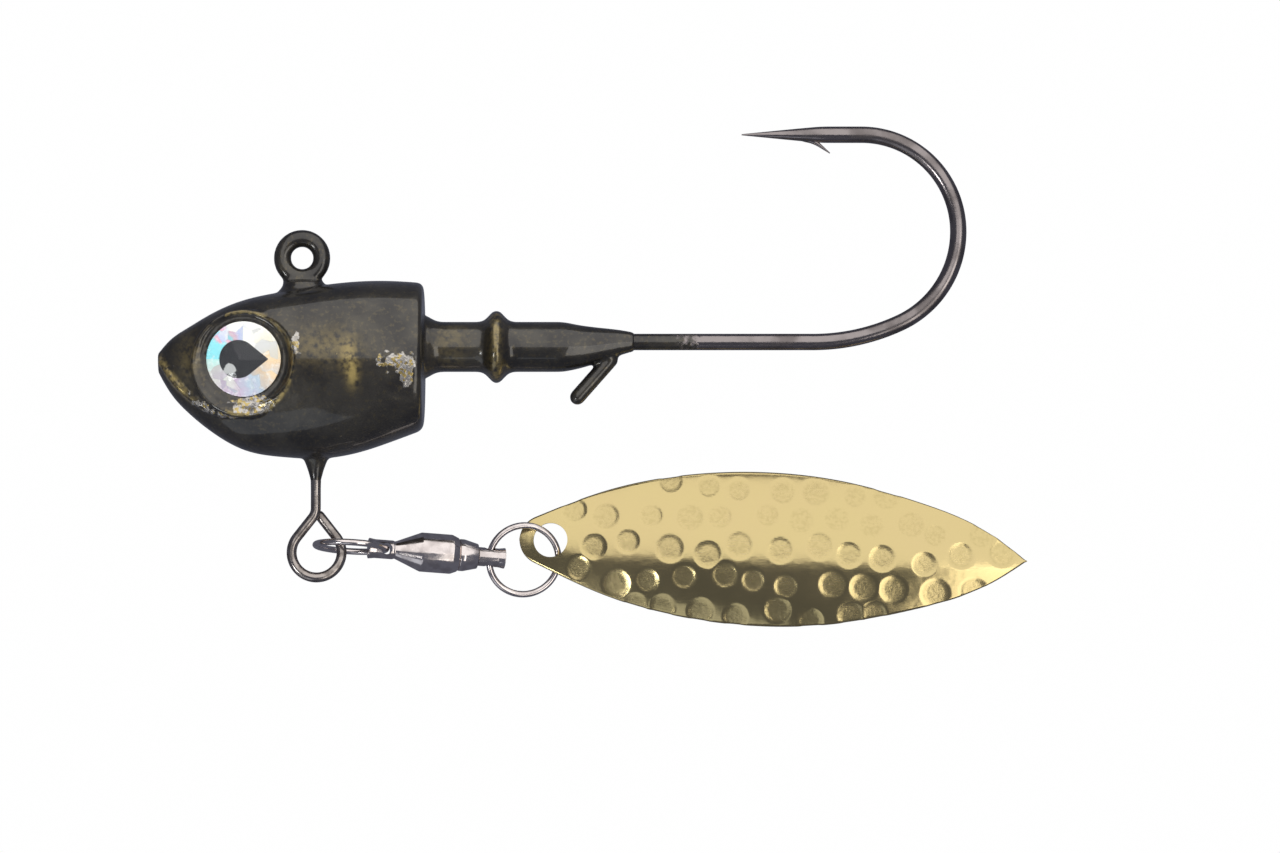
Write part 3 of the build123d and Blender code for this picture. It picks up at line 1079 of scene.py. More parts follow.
@dataclass
class Casting:
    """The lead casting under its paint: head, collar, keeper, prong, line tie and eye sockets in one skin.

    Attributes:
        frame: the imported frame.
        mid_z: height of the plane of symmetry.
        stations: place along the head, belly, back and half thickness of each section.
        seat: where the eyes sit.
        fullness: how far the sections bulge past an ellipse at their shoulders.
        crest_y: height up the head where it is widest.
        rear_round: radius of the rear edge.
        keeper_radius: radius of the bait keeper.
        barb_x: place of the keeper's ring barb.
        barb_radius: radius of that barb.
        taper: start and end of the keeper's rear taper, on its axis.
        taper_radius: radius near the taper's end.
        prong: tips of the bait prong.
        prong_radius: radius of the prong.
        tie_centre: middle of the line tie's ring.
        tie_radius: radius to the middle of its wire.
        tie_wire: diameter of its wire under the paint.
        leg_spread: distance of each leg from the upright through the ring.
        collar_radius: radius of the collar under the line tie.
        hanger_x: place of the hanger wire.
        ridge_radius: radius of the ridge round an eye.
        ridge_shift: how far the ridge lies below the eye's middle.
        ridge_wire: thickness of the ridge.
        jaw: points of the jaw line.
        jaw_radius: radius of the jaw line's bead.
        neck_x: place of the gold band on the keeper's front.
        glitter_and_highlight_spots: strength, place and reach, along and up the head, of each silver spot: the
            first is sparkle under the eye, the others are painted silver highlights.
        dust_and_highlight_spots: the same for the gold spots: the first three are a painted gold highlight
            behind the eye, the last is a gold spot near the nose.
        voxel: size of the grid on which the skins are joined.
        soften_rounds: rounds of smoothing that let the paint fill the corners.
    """

    frame: Frame
    mid_z: float = 5.26
    stations: Sequence[tuple[float, float, float, float]] = (
        (-34.40, 0.45, 1.80, 0.62),
        (-33.60, -0.95, 2.80, 1.65),
        (-32.20, -2.60, 3.85, 2.50),
        (-30.20, -4.25, 5.05, 3.40),
        (-27.60, -5.70, 6.15, 4.25),
        (-24.60, -6.25, 6.80, 4.92),
        (-21.60, -6.37, 7.30, 5.20),
        (-18.60, -5.90, 7.62, 5.25),
        (-15.80, -4.98, 7.65, 5.18),
        (-13.45, -4.10, 7.50, 5.00),
    )
    seat: EyeSeat = field(default_factory=EyeSeat)
    fullness: float = 0.03
    crest_y: float = 1.7
    rear_round: float = 0.5
    keeper_radius: float = 1.98
    barb_x: float = -7.7
    barb_radius: float = 2.86
    taper: tuple[Point2, Point2] = ((-1.6, 2.45), (3.2, 2.84))
    taper_radius: float = 0.82
    prong: tuple[Point2, Point2] = ((1.7, 1.9), (-1.72, -1.98))
    prong_radius: float = 0.62
    tie_centre: Point2 = (-23.04, 9.46)
    tie_radius: float = 1.555
    tie_wire: float = 1.37
    leg_spread: float = 0.64
    collar_radius: float = 1.62
    hanger_x: float = -21.96
    ridge_radius: float = 4.0
    ridge_shift: float = -0.35
    ridge_wire: float = 0.56
    jaw: Sequence[Point2] = (
        (-34.05, 1.35),
        (-33.3, 0.2),
        (-32.4, -0.85),
        (-31.1, -1.9),
        (-29.6, -2.62),
        (-28.0, -2.75),
        (-26.3, -2.3),
    )
    jaw_radius: float = 0.36
    neck_x: float = -11.3
    glitter_and_highlight_spots: Sequence[tuple[float, ...]] = (
        (1.6, -26.7, -2.15, 1.7, 0.75),
        (1.5, -23.3, 2.7, 0.36, 0.9),
        (1.25, -15.7, 1.3, 1.25, 0.75),
        (1.3, -14.6, 0.4, 0.6, 1.3),
    )
    dust_and_highlight_spots: Sequence[tuple[float, ...]] = (
        (1.0, -18.8, 0.2, 0.45, 0.9),
        (0.6, -19.1, 1.6, 0.6, 1.2),
        (0.25, -21.0, 2.4, 2.6, 1.4),
        (0.3, -31.8, 1.6, 0.9, 1.6),
    )
    voxel: float = 0.13
    soften_rounds: int = 9

    def head(self) -> Surface:
        """The head: ellipses across X, full at their shoulders, whose sizes follow splines along it.

        Each ellipse leans so that its widest place is at the crest: the shift grows as the sine squared of
        the turn from the back. The rings at the rear shrink along a quarter circle, which rounds the edge.

        Returns:
            The head's surface.
        """
        table = np.array(self.stations)
        x = np.linspace(table[0, 0], table[-1, 0] - self.rear_round, 90)
        turn = np.linspace(0.0, pi / 2, 7)[1:]
        rear_x = x[-1] + self.rear_round * np.sin(turn)
        x_all = np.concatenate([x, rear_x])
        sizes = spline_values(table[:, 0], table[:, 1:], x_all)
        inset = np.concatenate([np.zeros(len(x)), self.rear_round * (1 - np.cos(turn))])
        belly = sizes[:, 0] + inset
        back = sizes[:, 1] - inset
        half = sizes[:, 2] - inset
        angle = 2 * pi * np.arange(120) / 120
        full = 1 + self.fullness * np.sin(2 * angle) ** 2
        middle = (belly + back)[:, None] / 2
        lean = (self.crest_y - middle) * np.sin(angle) ** 2
        y = middle + (back - belly)[:, None] / 2 * np.cos(angle) * full + lean
        z = self.mid_z + half[:, None] * np.sin(angle) * full
        return Surface(np.stack([np.broadcast_to(x_all[:, None], y.shape), y, z], axis=-1))

    def cheek(self, x: np.ndarray, y: np.ndarray) -> np.ndarray:
        """How far the cheek stands from the plane of symmetry: the section's leaning ellipse, read at y.

        The cosine of the turn that gives y is the smaller root of a quadratic.

        Args:
            x: places along the head.
            y: places up the head.

        Returns:
            Distances from the plane of symmetry.
        """
        table = np.array(self.stations)
        belly, back, half = spline_values(table[:, 0], table[:, 1:], x).T
        tall = (back - belly) / 2
        lean = self.crest_y - (belly + back) / 2
        over = y - self.crest_y
        cosine = 2 * over / (tall + np.sqrt(np.maximum(tall**2 - 4 * lean * over, 0.0)))
        return half * np.sqrt(np.clip(1 - cosine**2, 0.0, 1.0))

    def keeper(self) -> Surface:
        """The keeper: circles across X with a ring barb, whose axis slides to the shank's over the taper.

        Returns:
            The keeper's surface.
        """
        (start_x, start_y), (end_x, end_y) = self.taper
        reach = self.keeper_radius
        profile = rounded(
            [
                (-14.6, reach + 0.9),
                (-13.3, reach + 0.55),
                (-12.4, reach),
                (self.barb_x - 1.35, reach),
                (self.barb_x - 0.95, reach + 0.12),
                (self.barb_x - 0.22, self.barb_radius),
                (self.barb_x + 0.22, self.barb_radius),
                (self.barb_x + 0.95, reach + 0.12),
                (self.barb_x + 1.35, reach),
                (start_x - 0.8, reach),
                (start_x + 1.1, reach * 0.80),
                (end_x - 1.2, self.taper_radius * 1.25),
                (end_x, self.taper_radius * 0.9),
            ],
            0.5,
        )
        line = even_path(profile, 0.15)
        share = smooth_step(line[:, 0], start_x, end_x)
        axis_y = start_y + (end_y - start_y) * share
        centre = np.stack([line[:, 0], axis_y, np.full(len(line), self.mid_z)], axis=1)
        angle = 2 * pi * np.arange(64) / 64
        ring = np.stack([np.zeros(64), np.cos(angle), np.sin(angle)], axis=1)
        return Surface(centre[:, None, :] + line[:, 1][:, None, None] * ring[None, :, :])

    def line_tie(self) -> list[Surface]:
        """The line tie: a ring of wire on two bent legs that stand side by side.

        Returns:
            The ring and the two legs.
        """
        centre = np.array([*self.tie_centre, self.mid_z])
        surfaces = [Turning(centre, Z_AXIS, X_AXIS).ring(self.tie_radius, self.tie_wire, 120, 40)]
        leg_radius = self.tie_wire / 2 - 0.04
        for spread in (-self.leg_spread, self.leg_spread):
            leg = np.array([(spread, -3.3), (spread * 1.15, -1.9), (spread * 1.75, -1.0)]) + self.tie_centre
            surfaces.append(tube(at_height(even_path(leg, 0.15), self.mid_z), leg_radius, 40))
        return surfaces

    def bosses(self) -> list[Surface]:
        """The collar under the line tie and the flare round the hanger wire, each turned about Y.

        Returns:
            The collar and the flare.
        """
        wide = self.collar_radius
        collar = rounded([(5.6, wide + 0.5), (6.9, wide + 0.35), (7.2, wide), (7.65, wide), (7.7, 0.2)], 0.3)
        flare = rounded([(-8.6, 0.30), (-7.3, 0.62), (-6.3, 1.0), (-5.2, 2.0), (-4.4, 2.2)], 0.4)
        turned = []
        for x, line, sides in ((self.tie_centre[0] + 0.1, collar, 64), (self.hanger_x, flare, 48)):
            turning = Turning(np.array([x, 0.0, self.mid_z]), Y_AXIS, Z_AXIS)
            turned.append(turning.lathe(even_path(line, 0.12), sides))
        return turned

    def jaw_path(self, side: Side) -> np.ndarray:
        """The jaw line: a spline over the cheek from the nose to under the eye.

        Args:
            side: cheek that the line runs over.

        Returns:
            Points just under the cheek's skin.
        """
        knots = np.array(self.jaw)
        order = np.arange(len(knots), dtype=float)
        flat = even_path(spline_values(order, knots, np.linspace(0, order[-1], 80)), 0.15)
        lift = self.cheek(flat[:, 0], flat[:, 1]) - 0.05
        return at_height(flat, self.mid_z + side.value * lift)

    def eye_mounts(self, side: Side) -> list[Surface]:
        """The boss that holds an eye and the ridge round its socket, turned about the way that it looks.

        Args:
            side: cheek that the eye is on.

        Returns:
            The boss and the ridge.
        """
        turning = self.seat.turning(side, self.mid_z)
        reach = self.ridge_radius
        lowered = Turning(turning.origin + self.ridge_shift * Y_AXIS, turning.axis, turning.across)
        boss = rounded([(-3.0, reach + 0.1), (-0.6, reach + 0.1), (0.1, reach - 0.15), (0.1, 0.3)], 0.3)
        return [lowered.lathe(even_path(boss, 0.15), 96), lowered.ring(reach, self.ridge_wire, 120, 16)]

    def carve(self, places: np.ndarray) -> np.ndarray:
        """Presses the eye sockets in: inside a rim, no point stands over a floor that is flat, then climbs.

        Args:
            places: vertices of the skin.

        Returns:
            The moved vertices.
        """
        for side in Side:
            turning = self.seat.turning(side, self.mid_z)
            local = places - turning.origin
            height = local @ turning.axis
            radius = np.linalg.norm(local - height[:, None] * turning.axis, axis=1)
            past_floor = np.maximum(radius - self.seat.radius - 0.45, 0.0)
            limit = 0.02 + 1.5 * past_floor**1.6
            limit = np.where(radius < self.seat.radius + 0.05, -0.03, limit)
            near = (radius < self.ridge_radius + 0.6) & (height > -1.0)
            excess = np.where(near, np.maximum(height - limit, 0.0), 0.0)
            places = places - excess[:, None] * turning.axis
        return places

    def marks(self, places: np.ndarray) -> dict[str, np.ndarray]:
        """Where the gold and silver marks lie: soft spots, the jaw line, the ridges round the eyes and the
        barb. Some spots and the gold on the barb are painted highlights.

        A spot fades as the exponential of minus the distance squared from its centre.

        Args:
            places: vertices of the skin.

        Returns:
            The named marks, one number for each vertex.
        """
        side = np.where(places[:, 2] >= self.mid_z, 1.0, -1.0)
        out = np.abs(places[:, 2] - self.mid_z) > 1.0

        def spot(x: float, y: float, wide: float, tall: float) -> np.ndarray:
            """A soft spot of a given reach on both cheeks."""
            away = ((places[:, 0] - x) / wide) ** 2 + ((places[:, 1] - y) / tall) ** 2
            return np.exp(-away) * out

        path = self.jaw_path(Side.LEFT)
        mirrored = places.copy()
        mirrored[:, 2] = self.mid_z + side * (places[:, 2] - self.mid_z)
        near = np.full(len(places), FAR)
        front = places[:, 0] < path[:, 0].max() + 2.0
        gap = np.linalg.norm(mirrored[front][:, None, :] - path[None, ::3, :], axis=2)
        near[front] = gap.min(axis=1)
        jaw = np.exp(-((near / 0.5) ** 4))
        glitter_and_highlight = jaw * smooth_step(places[:, 0], -33.2, -31.0)
        # The silver spots after the first are painted silver highlights.
        for strength, *shape in self.glitter_and_highlight_spots:
            glitter_and_highlight += strength * spot(*shape)
        dust_and_highlight = jaw * (1 - smooth_step(places[:, 0], -33.2, -30.4))
        # The first three gold spots are a painted gold highlight.
        for strength, *shape in self.dust_and_highlight_spots:
            dust_and_highlight += strength * spot(*shape)
        for at_side in Side:
            turning = self.seat.turning(at_side, self.mid_z)
            local = places - turning.origin - self.ridge_shift * Y_AXIS
            height = local @ turning.axis
            radius = np.linalg.norm(local - height[:, None] * turning.axis, axis=1)
            crest = np.exp(-(((radius - self.ridge_radius) / 0.16) ** 2)) * (height > 0.12)
            dust_and_highlight += 0.6 * crest * (local[:, 0] > -1.5)
        # The gold on the keeper's barb is a painted highlight.
        barb = np.exp(-(((places[:, 0] - self.barb_x) / 0.5) ** 2)) * (places[:, 1] < 5.5)
        neck = np.exp(-(((places[:, 0] - self.neck_x) / 1.3) ** 2))
        dust_and_highlight += (0.45 * barb + 0.15 * neck) * out
        return {"dust_and_highlight": np.clip(dust_and_highlight, 0, 1), "glitter_and_highlight": np.clip(glitter_and_highlight, 0, 1)}

    def build(self) -> bpy.types.Object:
        """Joins the surfaces under one skin, lets the paint fill the corners, and sinks the eye sockets.

        Returns:
            The painted casting.
        """
        prong = at_height(even_path(np.array(self.prong), 0.15), self.mid_z)
        surfaces = [self.head(), self.keeper(), *self.line_tie(), *self.bosses()]
        surfaces.append(round_tipped(prong, self.prong_radius, 32))
        for side in Side:
            surfaces += self.eye_mounts(side)
            surfaces.append(tube(self.jaw_path(side), self.jaw_radius, 20))
        made = make_object("painted_casting", surfaces)
        skin = made.modifiers.new("skin", "REMESH")
        skin.mode = "VOXEL"
        skin.voxel_size = self.voxel * MM
        soften = made.modifiers.new("soften", "SMOOTH")
        soften.factor = 0.5
        soften.iterations = self.soften_rounds
        settle(made, 180.0)
        places = self.carve(vertex_places(made.data))
        low = self.frame.low("lead_head")
        high = self.frame.high("lead_head")
        places[:, 0] = np.maximum(places[:, 0], low[0])
        places[:, 2] = np.clip(places[:, 2], low[2], high[2])
        set_vertex_places(made.data, places)
        for name, values in self.marks(places).items():
            set_mark(made.data, name, values)
        return place_piece(made, "lure", PearlPaint().material(), ["lead_head"])


# --- eyes ----------------------------------------------------------------------------------------------


@dataclass
class Eye:
    """A foil eye: the foil on its seat, the printed pupil and the clear dome over both.

    Attributes:
        seat: where the eye sits.
        side: cheek that it is on.
        mid_z: height of the plane of symmetry.
        foil_thickness: thickness of the foil.
        print_thickness: thickness of the printed pupil.
        dome_height: height of the dome over the print.
        dome_edge: height of the dome's straight edge.
        pupil_radius: radius of the pupil's round part.
        pupil_x: middle of that part, along the eye.
        pupil_tip: place of the pupil's rear tip.
    """

    seat: EyeSeat
    side: Side
    mid_z: float
    foil_thickness: float = 0.12
    print_thickness: float = 0.02
    dome_height: float = 0.88
    dome_edge: float = 0.07
    pupil_radius: float = 1.5
    pupil_x: float = -0.42
    pupil_tip: float = 1.98

    def foil(self, turning: Turning) -> Surface:
        """The foil: a thin disc with an eased edge.

        Args:
            turning: the eye's middle and axis.

        Returns:
            The foil's surface.
        """
        radius = self.seat.radius
        top = self.foil_thickness
        edge = rounded([(0.0, 0.05), (0.0, radius), (top, radius), (top, 0.05)], 0.03)
        return turning.lathe(even_path(edge, 0.08), 120)

    def pupil(self, turning: Turning) -> Surface:
        """The pupil: a thin plate of four rings. Its outline is an arc closed by two lines from a tip.

        Args:
            turning: the eye's middle and axis.

        Returns:
            The pupil's surface.
        """
        wrap = arc((self.pupil_x, 0.0), self.pupil_radius, 50, 260, 90)
        tip = np.array([[self.pupil_tip, 0.0]])
        outline = even_path(np.vstack([tip, wrap, tip]), 0.06)[:-1]
        if self.side is Side.RIGHT:
            outline = outline[::-1]
        low = self.foil_thickness - 0.02
        top = self.foil_thickness + self.print_thickness
        rings = []
        for lift, scale in ((low, 0.97), (low, 1.0), (top, 1.0), (top, 0.97)):
            flat = outline * scale
            ring = flat[:, :1] * turning.across + flat[:, 1:] * Y_AXIS + lift * turning.axis
            rings.append(turning.origin + ring)
        return Surface(np.stack(rings))

    def dome(self, turning: Turning) -> Surface:
        """The dome: a cap whose height falls with the square of the radius, on a thin straight edge.

        Args:
            turning: the eye's middle and axis.

        Returns:
            The dome's surface.
        """
        radius = self.seat.radius * np.sin(np.linspace(0.02, pi / 2, 40))
        base = self.foil_thickness + self.print_thickness + 0.005
        rise = self.dome_height - self.dome_edge
        height = base + self.dome_edge + rise * (1 - (radius / self.seat.radius) ** 2)
        flat_base = [(base, 0.05), (base, self.seat.radius - 0.01)]
        profile = np.vstack([flat_base, np.stack([height, radius], axis=1)[::-1]])
        return turning.lathe(profile, 120)

    def build(self) -> None:
        """Makes and places the three pieces of the eye."""
        turning = self.seat.turning(self.side, self.mid_z)
        name = self.side.name.lower()
        centre = (self.seat.x, self.seat.y, self.mid_z + self.side.value * self.seat.depth)
        foil = make_object("eye_foil_skin_" + name, [self.foil(turning)])
        silver = PrismFoil(centre).material(self.side)
        place_piece(foil, "lure", silver, ["eye_foil_" + name])
        pupil = make_object("eye_print_skin_" + name, [self.pupil(turning)])
        ink = PupilPrint(centre).material(self.side)
        place_piece(pupil, "lure", ink, ["eye_pupil_" + name])
        dome = make_object("eye_resin_skin_" + name, [self.dome(turning)], 50.0)
        place_piece(dome, "lure", ClearResin().material(), ["eye_dome_" + name])


# --- hook and hanger wire ------------------------------------------------------------------------------


@dataclass
class Hook:
    """The hook from the casting's rear to its point: round wire, a bend of three radii, a point and a barb.

    Attributes:
        mid_z: height of the plane of symmetry.
        wire: diameter of the wire.
        shank_y: height of the shank's axis.
        start_x: where the shank starts, inside the casting.
        heel_x: where the bend starts.
        bend: radius and turn in degrees of each arc.
        point_x: place along X that the barb is measured from.
        point_length: length over which the wire thins.
        tip_radius: radius of the point's tip.
        barb_tall: half the barb's height near its root.
        barb_wide: half the barb's width at its root.
        steel: the plating, with overspray near the casting.
    """

    mid_z: float
    wire: float = 1.3
    shank_y: float = 2.84
    start_x: float = -3.0
    heel_x: float = 17.3
    bend: Sequence[Point2] = ((16.27, 25.0), (7.93, 65.0), (7.65, 90.0))
    point_x: float = 17.9
    point_length: float = 6.25
    tip_radius: float = 0.05
    barb_tall: float = 0.42
    barb_wide: float = 0.27
    steel: PlatedSteel = PlatedSteel(
        "black_nickel",
        bright=(0.36, 0.32, 0.31),
        dull=(0.21, 0.185, 0.178),
        rough=0.17,
        spread=0.14,
        size=2.2,
        paint_until=7.6,
    )

    def path(self) -> np.ndarray:
        """The centre line: a straight shank, the bend's arcs, each tangent to the last, and the point's run.

        Returns:
            Flat points, evenly spaced.
        """
        pieces = [np.array([[self.start_x, self.shank_y], [self.heel_x, self.shank_y]])]
        end = pieces[0][-1]
        heading = 0.0
        for radius, turn in self.bend:
            centre = end + radius * np.array([-np.sin(radians(heading)), np.cos(radians(heading))])
            pieces.append(arc(tuple(centre), radius, heading - 90.0, turn, 60))
            end = pieces[-1][-1]
            heading += turn
        pieces.append(np.array([end, (self.point_x - self.point_length, end[1])]))
        return even_path(np.vstack(pieces), 0.14)

    def build(self) -> bpy.types.Object:
        """Makes the hook: the wire thins to its tip through a few sizes, eased by a running mean.

        Returns:
            The bare part of the hook.
        """
        flat = self.path()
        end = flat[-1]
        upper = flat[:, 1] > self.shank_y + self.bend[1][0]
        left = np.where(upper, flat[:, 0] - end[0], FAR)
        full = self.wire / 2
        knots = np.array([0.0, 0.3, 0.65, 1.0]) * self.point_length
        sizes = np.array([self.tip_radius, 0.235, 0.45, full])
        size = np.where(left < self.point_length, np.interp(left, knots, sizes), full)
        size = np.convolve(np.pad(size, 4, mode="edge"), np.ones(9) / 9, mode="valid")
        size[-4:] = np.interp(left[-4:], knots, sizes)
        surfaces = [tube(at_height(flat, self.mid_z), size, 40), self.barb(end[1])]
        made = make_object("bare_hook", surfaces, 50.0)
        return place_piece(made, "lure", self.steel.material(), ["hook"])

    def barb(self, point_y: float) -> Surface:
        """The barb: rings across a bent line that swell out of the point and then narrow to the barb's tip.

        Args:
            point_y: height of the point's axis.

        Returns:
            The barb's surface.
        """
        bent = np.array([(-2.4, -0.10), (-0.7, -0.38), (0.72, -1.46)]) + (self.point_x, point_y)
        line = even_path(rounded(bent, 0.8, 9), 0.12)
        share = np.linspace(0.0, 1.0, len(line))
        heading = unit(np.gradient(line, axis=0))
        across = np.stack([-heading[:, 1], heading[:, 0]], axis=1)
        angle = 2 * pi * np.arange(20) / 20
        swell = 0.2 + 0.8 * smooth_step(share, 0.0, 0.4)
        tall = (swell * (self.barb_tall - 0.38 * share))[:, None] * np.cos(angle)
        wide = (self.barb_wide - 0.20 * share**2)[:, None] * np.sin(angle)
        flat = line[:, None, :] + across[:, None, :] * tall[:, :, None]
        return Surface(np.concatenate([flat, (self.mid_z + wide)[:, :, None]], axis=2))


@dataclass
class HangerWire:
    """The hanger wire: a shaft out of the belly and a loop whose free end closes behind the shaft.

    Attributes:
        mid_z: height of the plane of symmetry.
        wire: diameter of the wire.
        x: place of the shaft.
        top_y: where the shaft starts, inside the casting.
        kink_y: where the shaft turns into the loop.
        loop_centre: middle of the loop.
        loop_radius: radius to the middle of the loop's wire.
        tail: length of the free end.
        drop: how far the free end sinks behind the shaft.
        steel: the plating.
    """

    mid_z: float
    wire: float = 0.79
    x: float = -21.96
    top_y: float = -3.0
    kink_y: float = -10.7
    loop_centre: Point2 = (-21.91, -13.79)
    loop_radius: float = 1.96
    tail: float = 2.4
    drop: float = 0.84
    steel: PlatedSteel = PlatedSteel(
        "hanger_nickel",
        bright=(0.48, 0.43, 0.39),
        dull=(0.24, 0.21, 0.19),
        rough=0.16,
        spread=0.16,
        size=0.8,
    )

    def build(self) -> bpy.types.Object:
        """Makes the wire: a rounded kink leads to the loop, which sinks gently to pass behind the shaft.

        Returns:
            The hanger wire.
        """
        reach = hypot(self.x - self.loop_centre[0], self.kink_y - self.loop_centre[1])
        gap = np.degrees(acos(self.loop_radius / reach))
        loop = arc(self.loop_centre, self.loop_radius, 90 + gap, 360 - 2 * gap, 120)
        kink = rounded([(self.x, self.top_y), (self.x, self.kink_y), tuple(loop[0])], 0.45, 12)
        away = unit(loop[-1] - loop[-2])
        flat = even_path(np.vstack([kink, loop[1:], loop[-1] + away * self.tail]), 0.12)
        length = np.concatenate([[0.0], np.cumsum(np.linalg.norm(np.diff(flat, axis=0), axis=1))])
        sink = self.drop * smooth_step(length, length[-1] * 0.62, length[-1] * 0.97)
        swell = 0.05 * (1 - smooth_step(length, 3.6, 6.0))
        path = at_height(flat, self.mid_z - sink)
        size = self.wire / 2 + swell
        size[-3:] *= np.array([0.98, 0.90, 0.72])
        made = make_object("hanger_wire_skin", [tube(path, size, 32)])
        return place_piece(made, "lure", self.steel.material(), ["hanger_wire"])


# --- swivel --------------------------------------------------------------------------------------------


@dataclass
class Swivel:
    """The ball-bearing swivel with its two rings. Distances run along its axis from the front hinge.

    Attributes:
        frame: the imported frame.
        wire: diameter of the rings' wire.
        ring_radius: radius to the middle of that wire, and the distance of the front cross hole.
        cross_hole: radius of the cross holes.
        post_radius: radius of the two posts.
        post_flare: radius of the posts' outer ends.
        barrel_radius: largest radius of the barrel.
        bore: radius of the barrel's bore.
        cap_end: rear face of the end cap.
        cap_radius: radius of that face.
        cap_bore: radius of the cap's bore.
        cap_face: front face of the cap, inside the barrel.
        head_radius: radius of the spindle's head.
        head_length: length of that head.
        shaft_radius: radius of the spindle's shaft.
        race_room: room between the cap and the head, for the race washer and its clearances.
        rear_hole: distance of the rear cross hole.
        spindle_end: rear end of the spindle.
        steel: the plating.
        bearing: the bare bearing steel.
    """

    frame: Frame
    wire: float = 0.52
    ring_radius: float = 2.79
    cross_hole: float = 0.45
    post_radius: float = 0.75
    post_flare: float = 0.83
    barrel_radius: float = 1.56
    bore: float = 1.16
    cap_end: float = 10.17
    cap_radius: float = 0.98
    cap_bore: float = 0.58
    cap_face: float = 8.05
    head_radius: float = 1.08
    head_length: float = 0.6
    shaft_radius: float = 0.5
    race_room: float = 0.67
    rear_hole: float = 11.15
    spindle_end: float = 12.37
    steel: PlatedSteel = PlatedSteel(
        "nickel",
        bright=(0.88, 0.80, 0.76),
        dull=(0.66, 0.59, 0.56),
        rough=0.11,
        spread=0.10,
        size=0.9,
    )
    bearing: PlatedSteel = PlatedSteel(
        "bearing_steel",
        bright=(0.60, 0.60, 0.61),
        dull=(0.50, 0.50, 0.51),
        rough=0.08,
        spread=0.05,
        size=0.3,
    )

    def hole(self, axis: Turning, distance: float, direction: np.ndarray) -> Surface:
        """A straight cutter for a cross hole.

        Args:
            axis: the swivel's axis.
            distance: where on it the hole lies.
            direction: direction of the hole.

        Returns:
            The cutter's surface.
        """
        at = Turning(axis.origin + axis.axis * distance, direction, axis.axis)
        reach = 2 * self.post_radius
        return at.lathe(np.array([(-reach, self.cross_hole), (reach, self.cross_hole)]), 48)

    def build(self) -> None:
        """Makes the barrel, cap and spindle, then the rings, and dresses what hides inside."""
        front, front_normal = self.frame.joint("swivel_swing")
        _, axis_dir = self.frame.joint("spindle_spin")
        _, rear_hole_dir = self.frame.joint("rear_ring_swing")
        rear, rear_normal = self.frame.joint("blade_swing")
        front_hole_dir = unit(np.cross(axis_dir, front_normal))
        axis = Turning(front, axis_dir, unit(np.cross(axis_dir, Z_AXIS)))
        steel = self.steel.material()
        barrel = self.barrel(axis)
        drill(barrel, self.hole(axis, self.ring_radius, front_hole_dir))
        place_piece(barrel, "swivel", steel, ["swivel_barrel"])
        place_piece(self.cap(axis), "swivel", steel, ["swivel_end_cap"])
        spindle = self.spindle(axis)
        drill(spindle, self.hole(axis, self.rear_hole, rear_hole_dir))
        place_piece(spindle, "spindle", steel, ["swivel_spindle"])
        for name, place, normal in (("front_ring", front, front_normal), ("rear_ring", rear, rear_normal)):
            turning = Turning(place, normal, unit(np.cross(normal, axis_dir)))
            ring = make_object(name + "_skin", [turning.ring(self.ring_radius, self.wire, 160, 28)])
            place_piece(ring, name, steel, [name])
        self.dress_bearing()

    def barrel(self, axis: Turning) -> bpy.types.Object:
        """The barrel with its front post: one turned shell, open at the rear, with eased corners.

        Args:
            axis: the swivel's axis.

        Returns:
            The barrel, without its cross hole.
        """
        line = [
            (1.40, 0.05),
            (1.40, self.post_flare),
            (1.90, self.post_radius),
            (3.35, self.post_radius),
            (3.50, 0.68),
            (5.60, self.barrel_radius),
            (8.05, self.barrel_radius),
            (8.56, 1.34),
            (8.60, 1.29),
            (8.62, 1.20),
            (8.62, self.bore),
            (6.30, self.bore),
            (6.30, 0.05),
        ]
        return make_object("swivel_barrel_skin", [axis.lathe(rounded(line, 0.07, 4), 120)], 30.0)

    def cap(self, axis: Turning) -> bpy.types.Object:
        """The end cap: a turned ring, whose profile is a closed loop.

        Args:
            axis: the swivel's axis.

        Returns:
            The end cap.
        """
        line = [
            (self.cap_face, self.cap_bore),
            (self.cap_face, self.bore),
            (8.64, self.bore),
            (8.65, 1.2),
            (8.70, 1.27),
            (9.05, 1.27),
            (self.cap_end, self.cap_radius),
            (self.cap_end, self.cap_bore),
        ]
        loop = np.vstack([rounded(line, 0.05, 4), [(self.cap_face + 0.3, self.cap_bore)]])
        return make_object("swivel_cap_skin", [axis.lathe(loop, 120, Ends.JOINED)], 30.0)

    def spindle(self, axis: Turning) -> bpy.types.Object:
        """The spindle: a head inside the barrel, a shaft through the cap and a post behind it.

        Args:
            axis: the swivel's axis.

        Returns:
            The spindle, without its cross hole.
        """
        head = self.cap_face - self.race_room
        post = self.cap_end + 0.06
        line = [
            (head - self.head_length, 0.05),
            (head - self.head_length, self.head_radius),
            (head, self.head_radius),
            (head, self.shaft_radius),
            (post, self.shaft_radius),
            (post, self.post_radius),
            (self.spindle_end - 0.5, self.post_radius),
            (self.spindle_end, self.post_flare),
            (self.spindle_end, 0.05),
        ]
        return make_object("swivel_spindle_skin", [axis.lathe(rounded(line, 0.05, 4), 96)], 30.0)

    def dress_bearing(self) -> None:
        """Gives the hidden balls and washer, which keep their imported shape, the bearing's steel."""
        material = self.bearing.material()
        for node in ("bearing_balls", "race_washer"):
            made = self.frame.loaded["nodes"][node]
            for slot in made.material_slots:
                slot.material = material
            log.info("%s: dressed in bearing steel", node)


# --- blade ---------------------------------------------------------------------------------------------


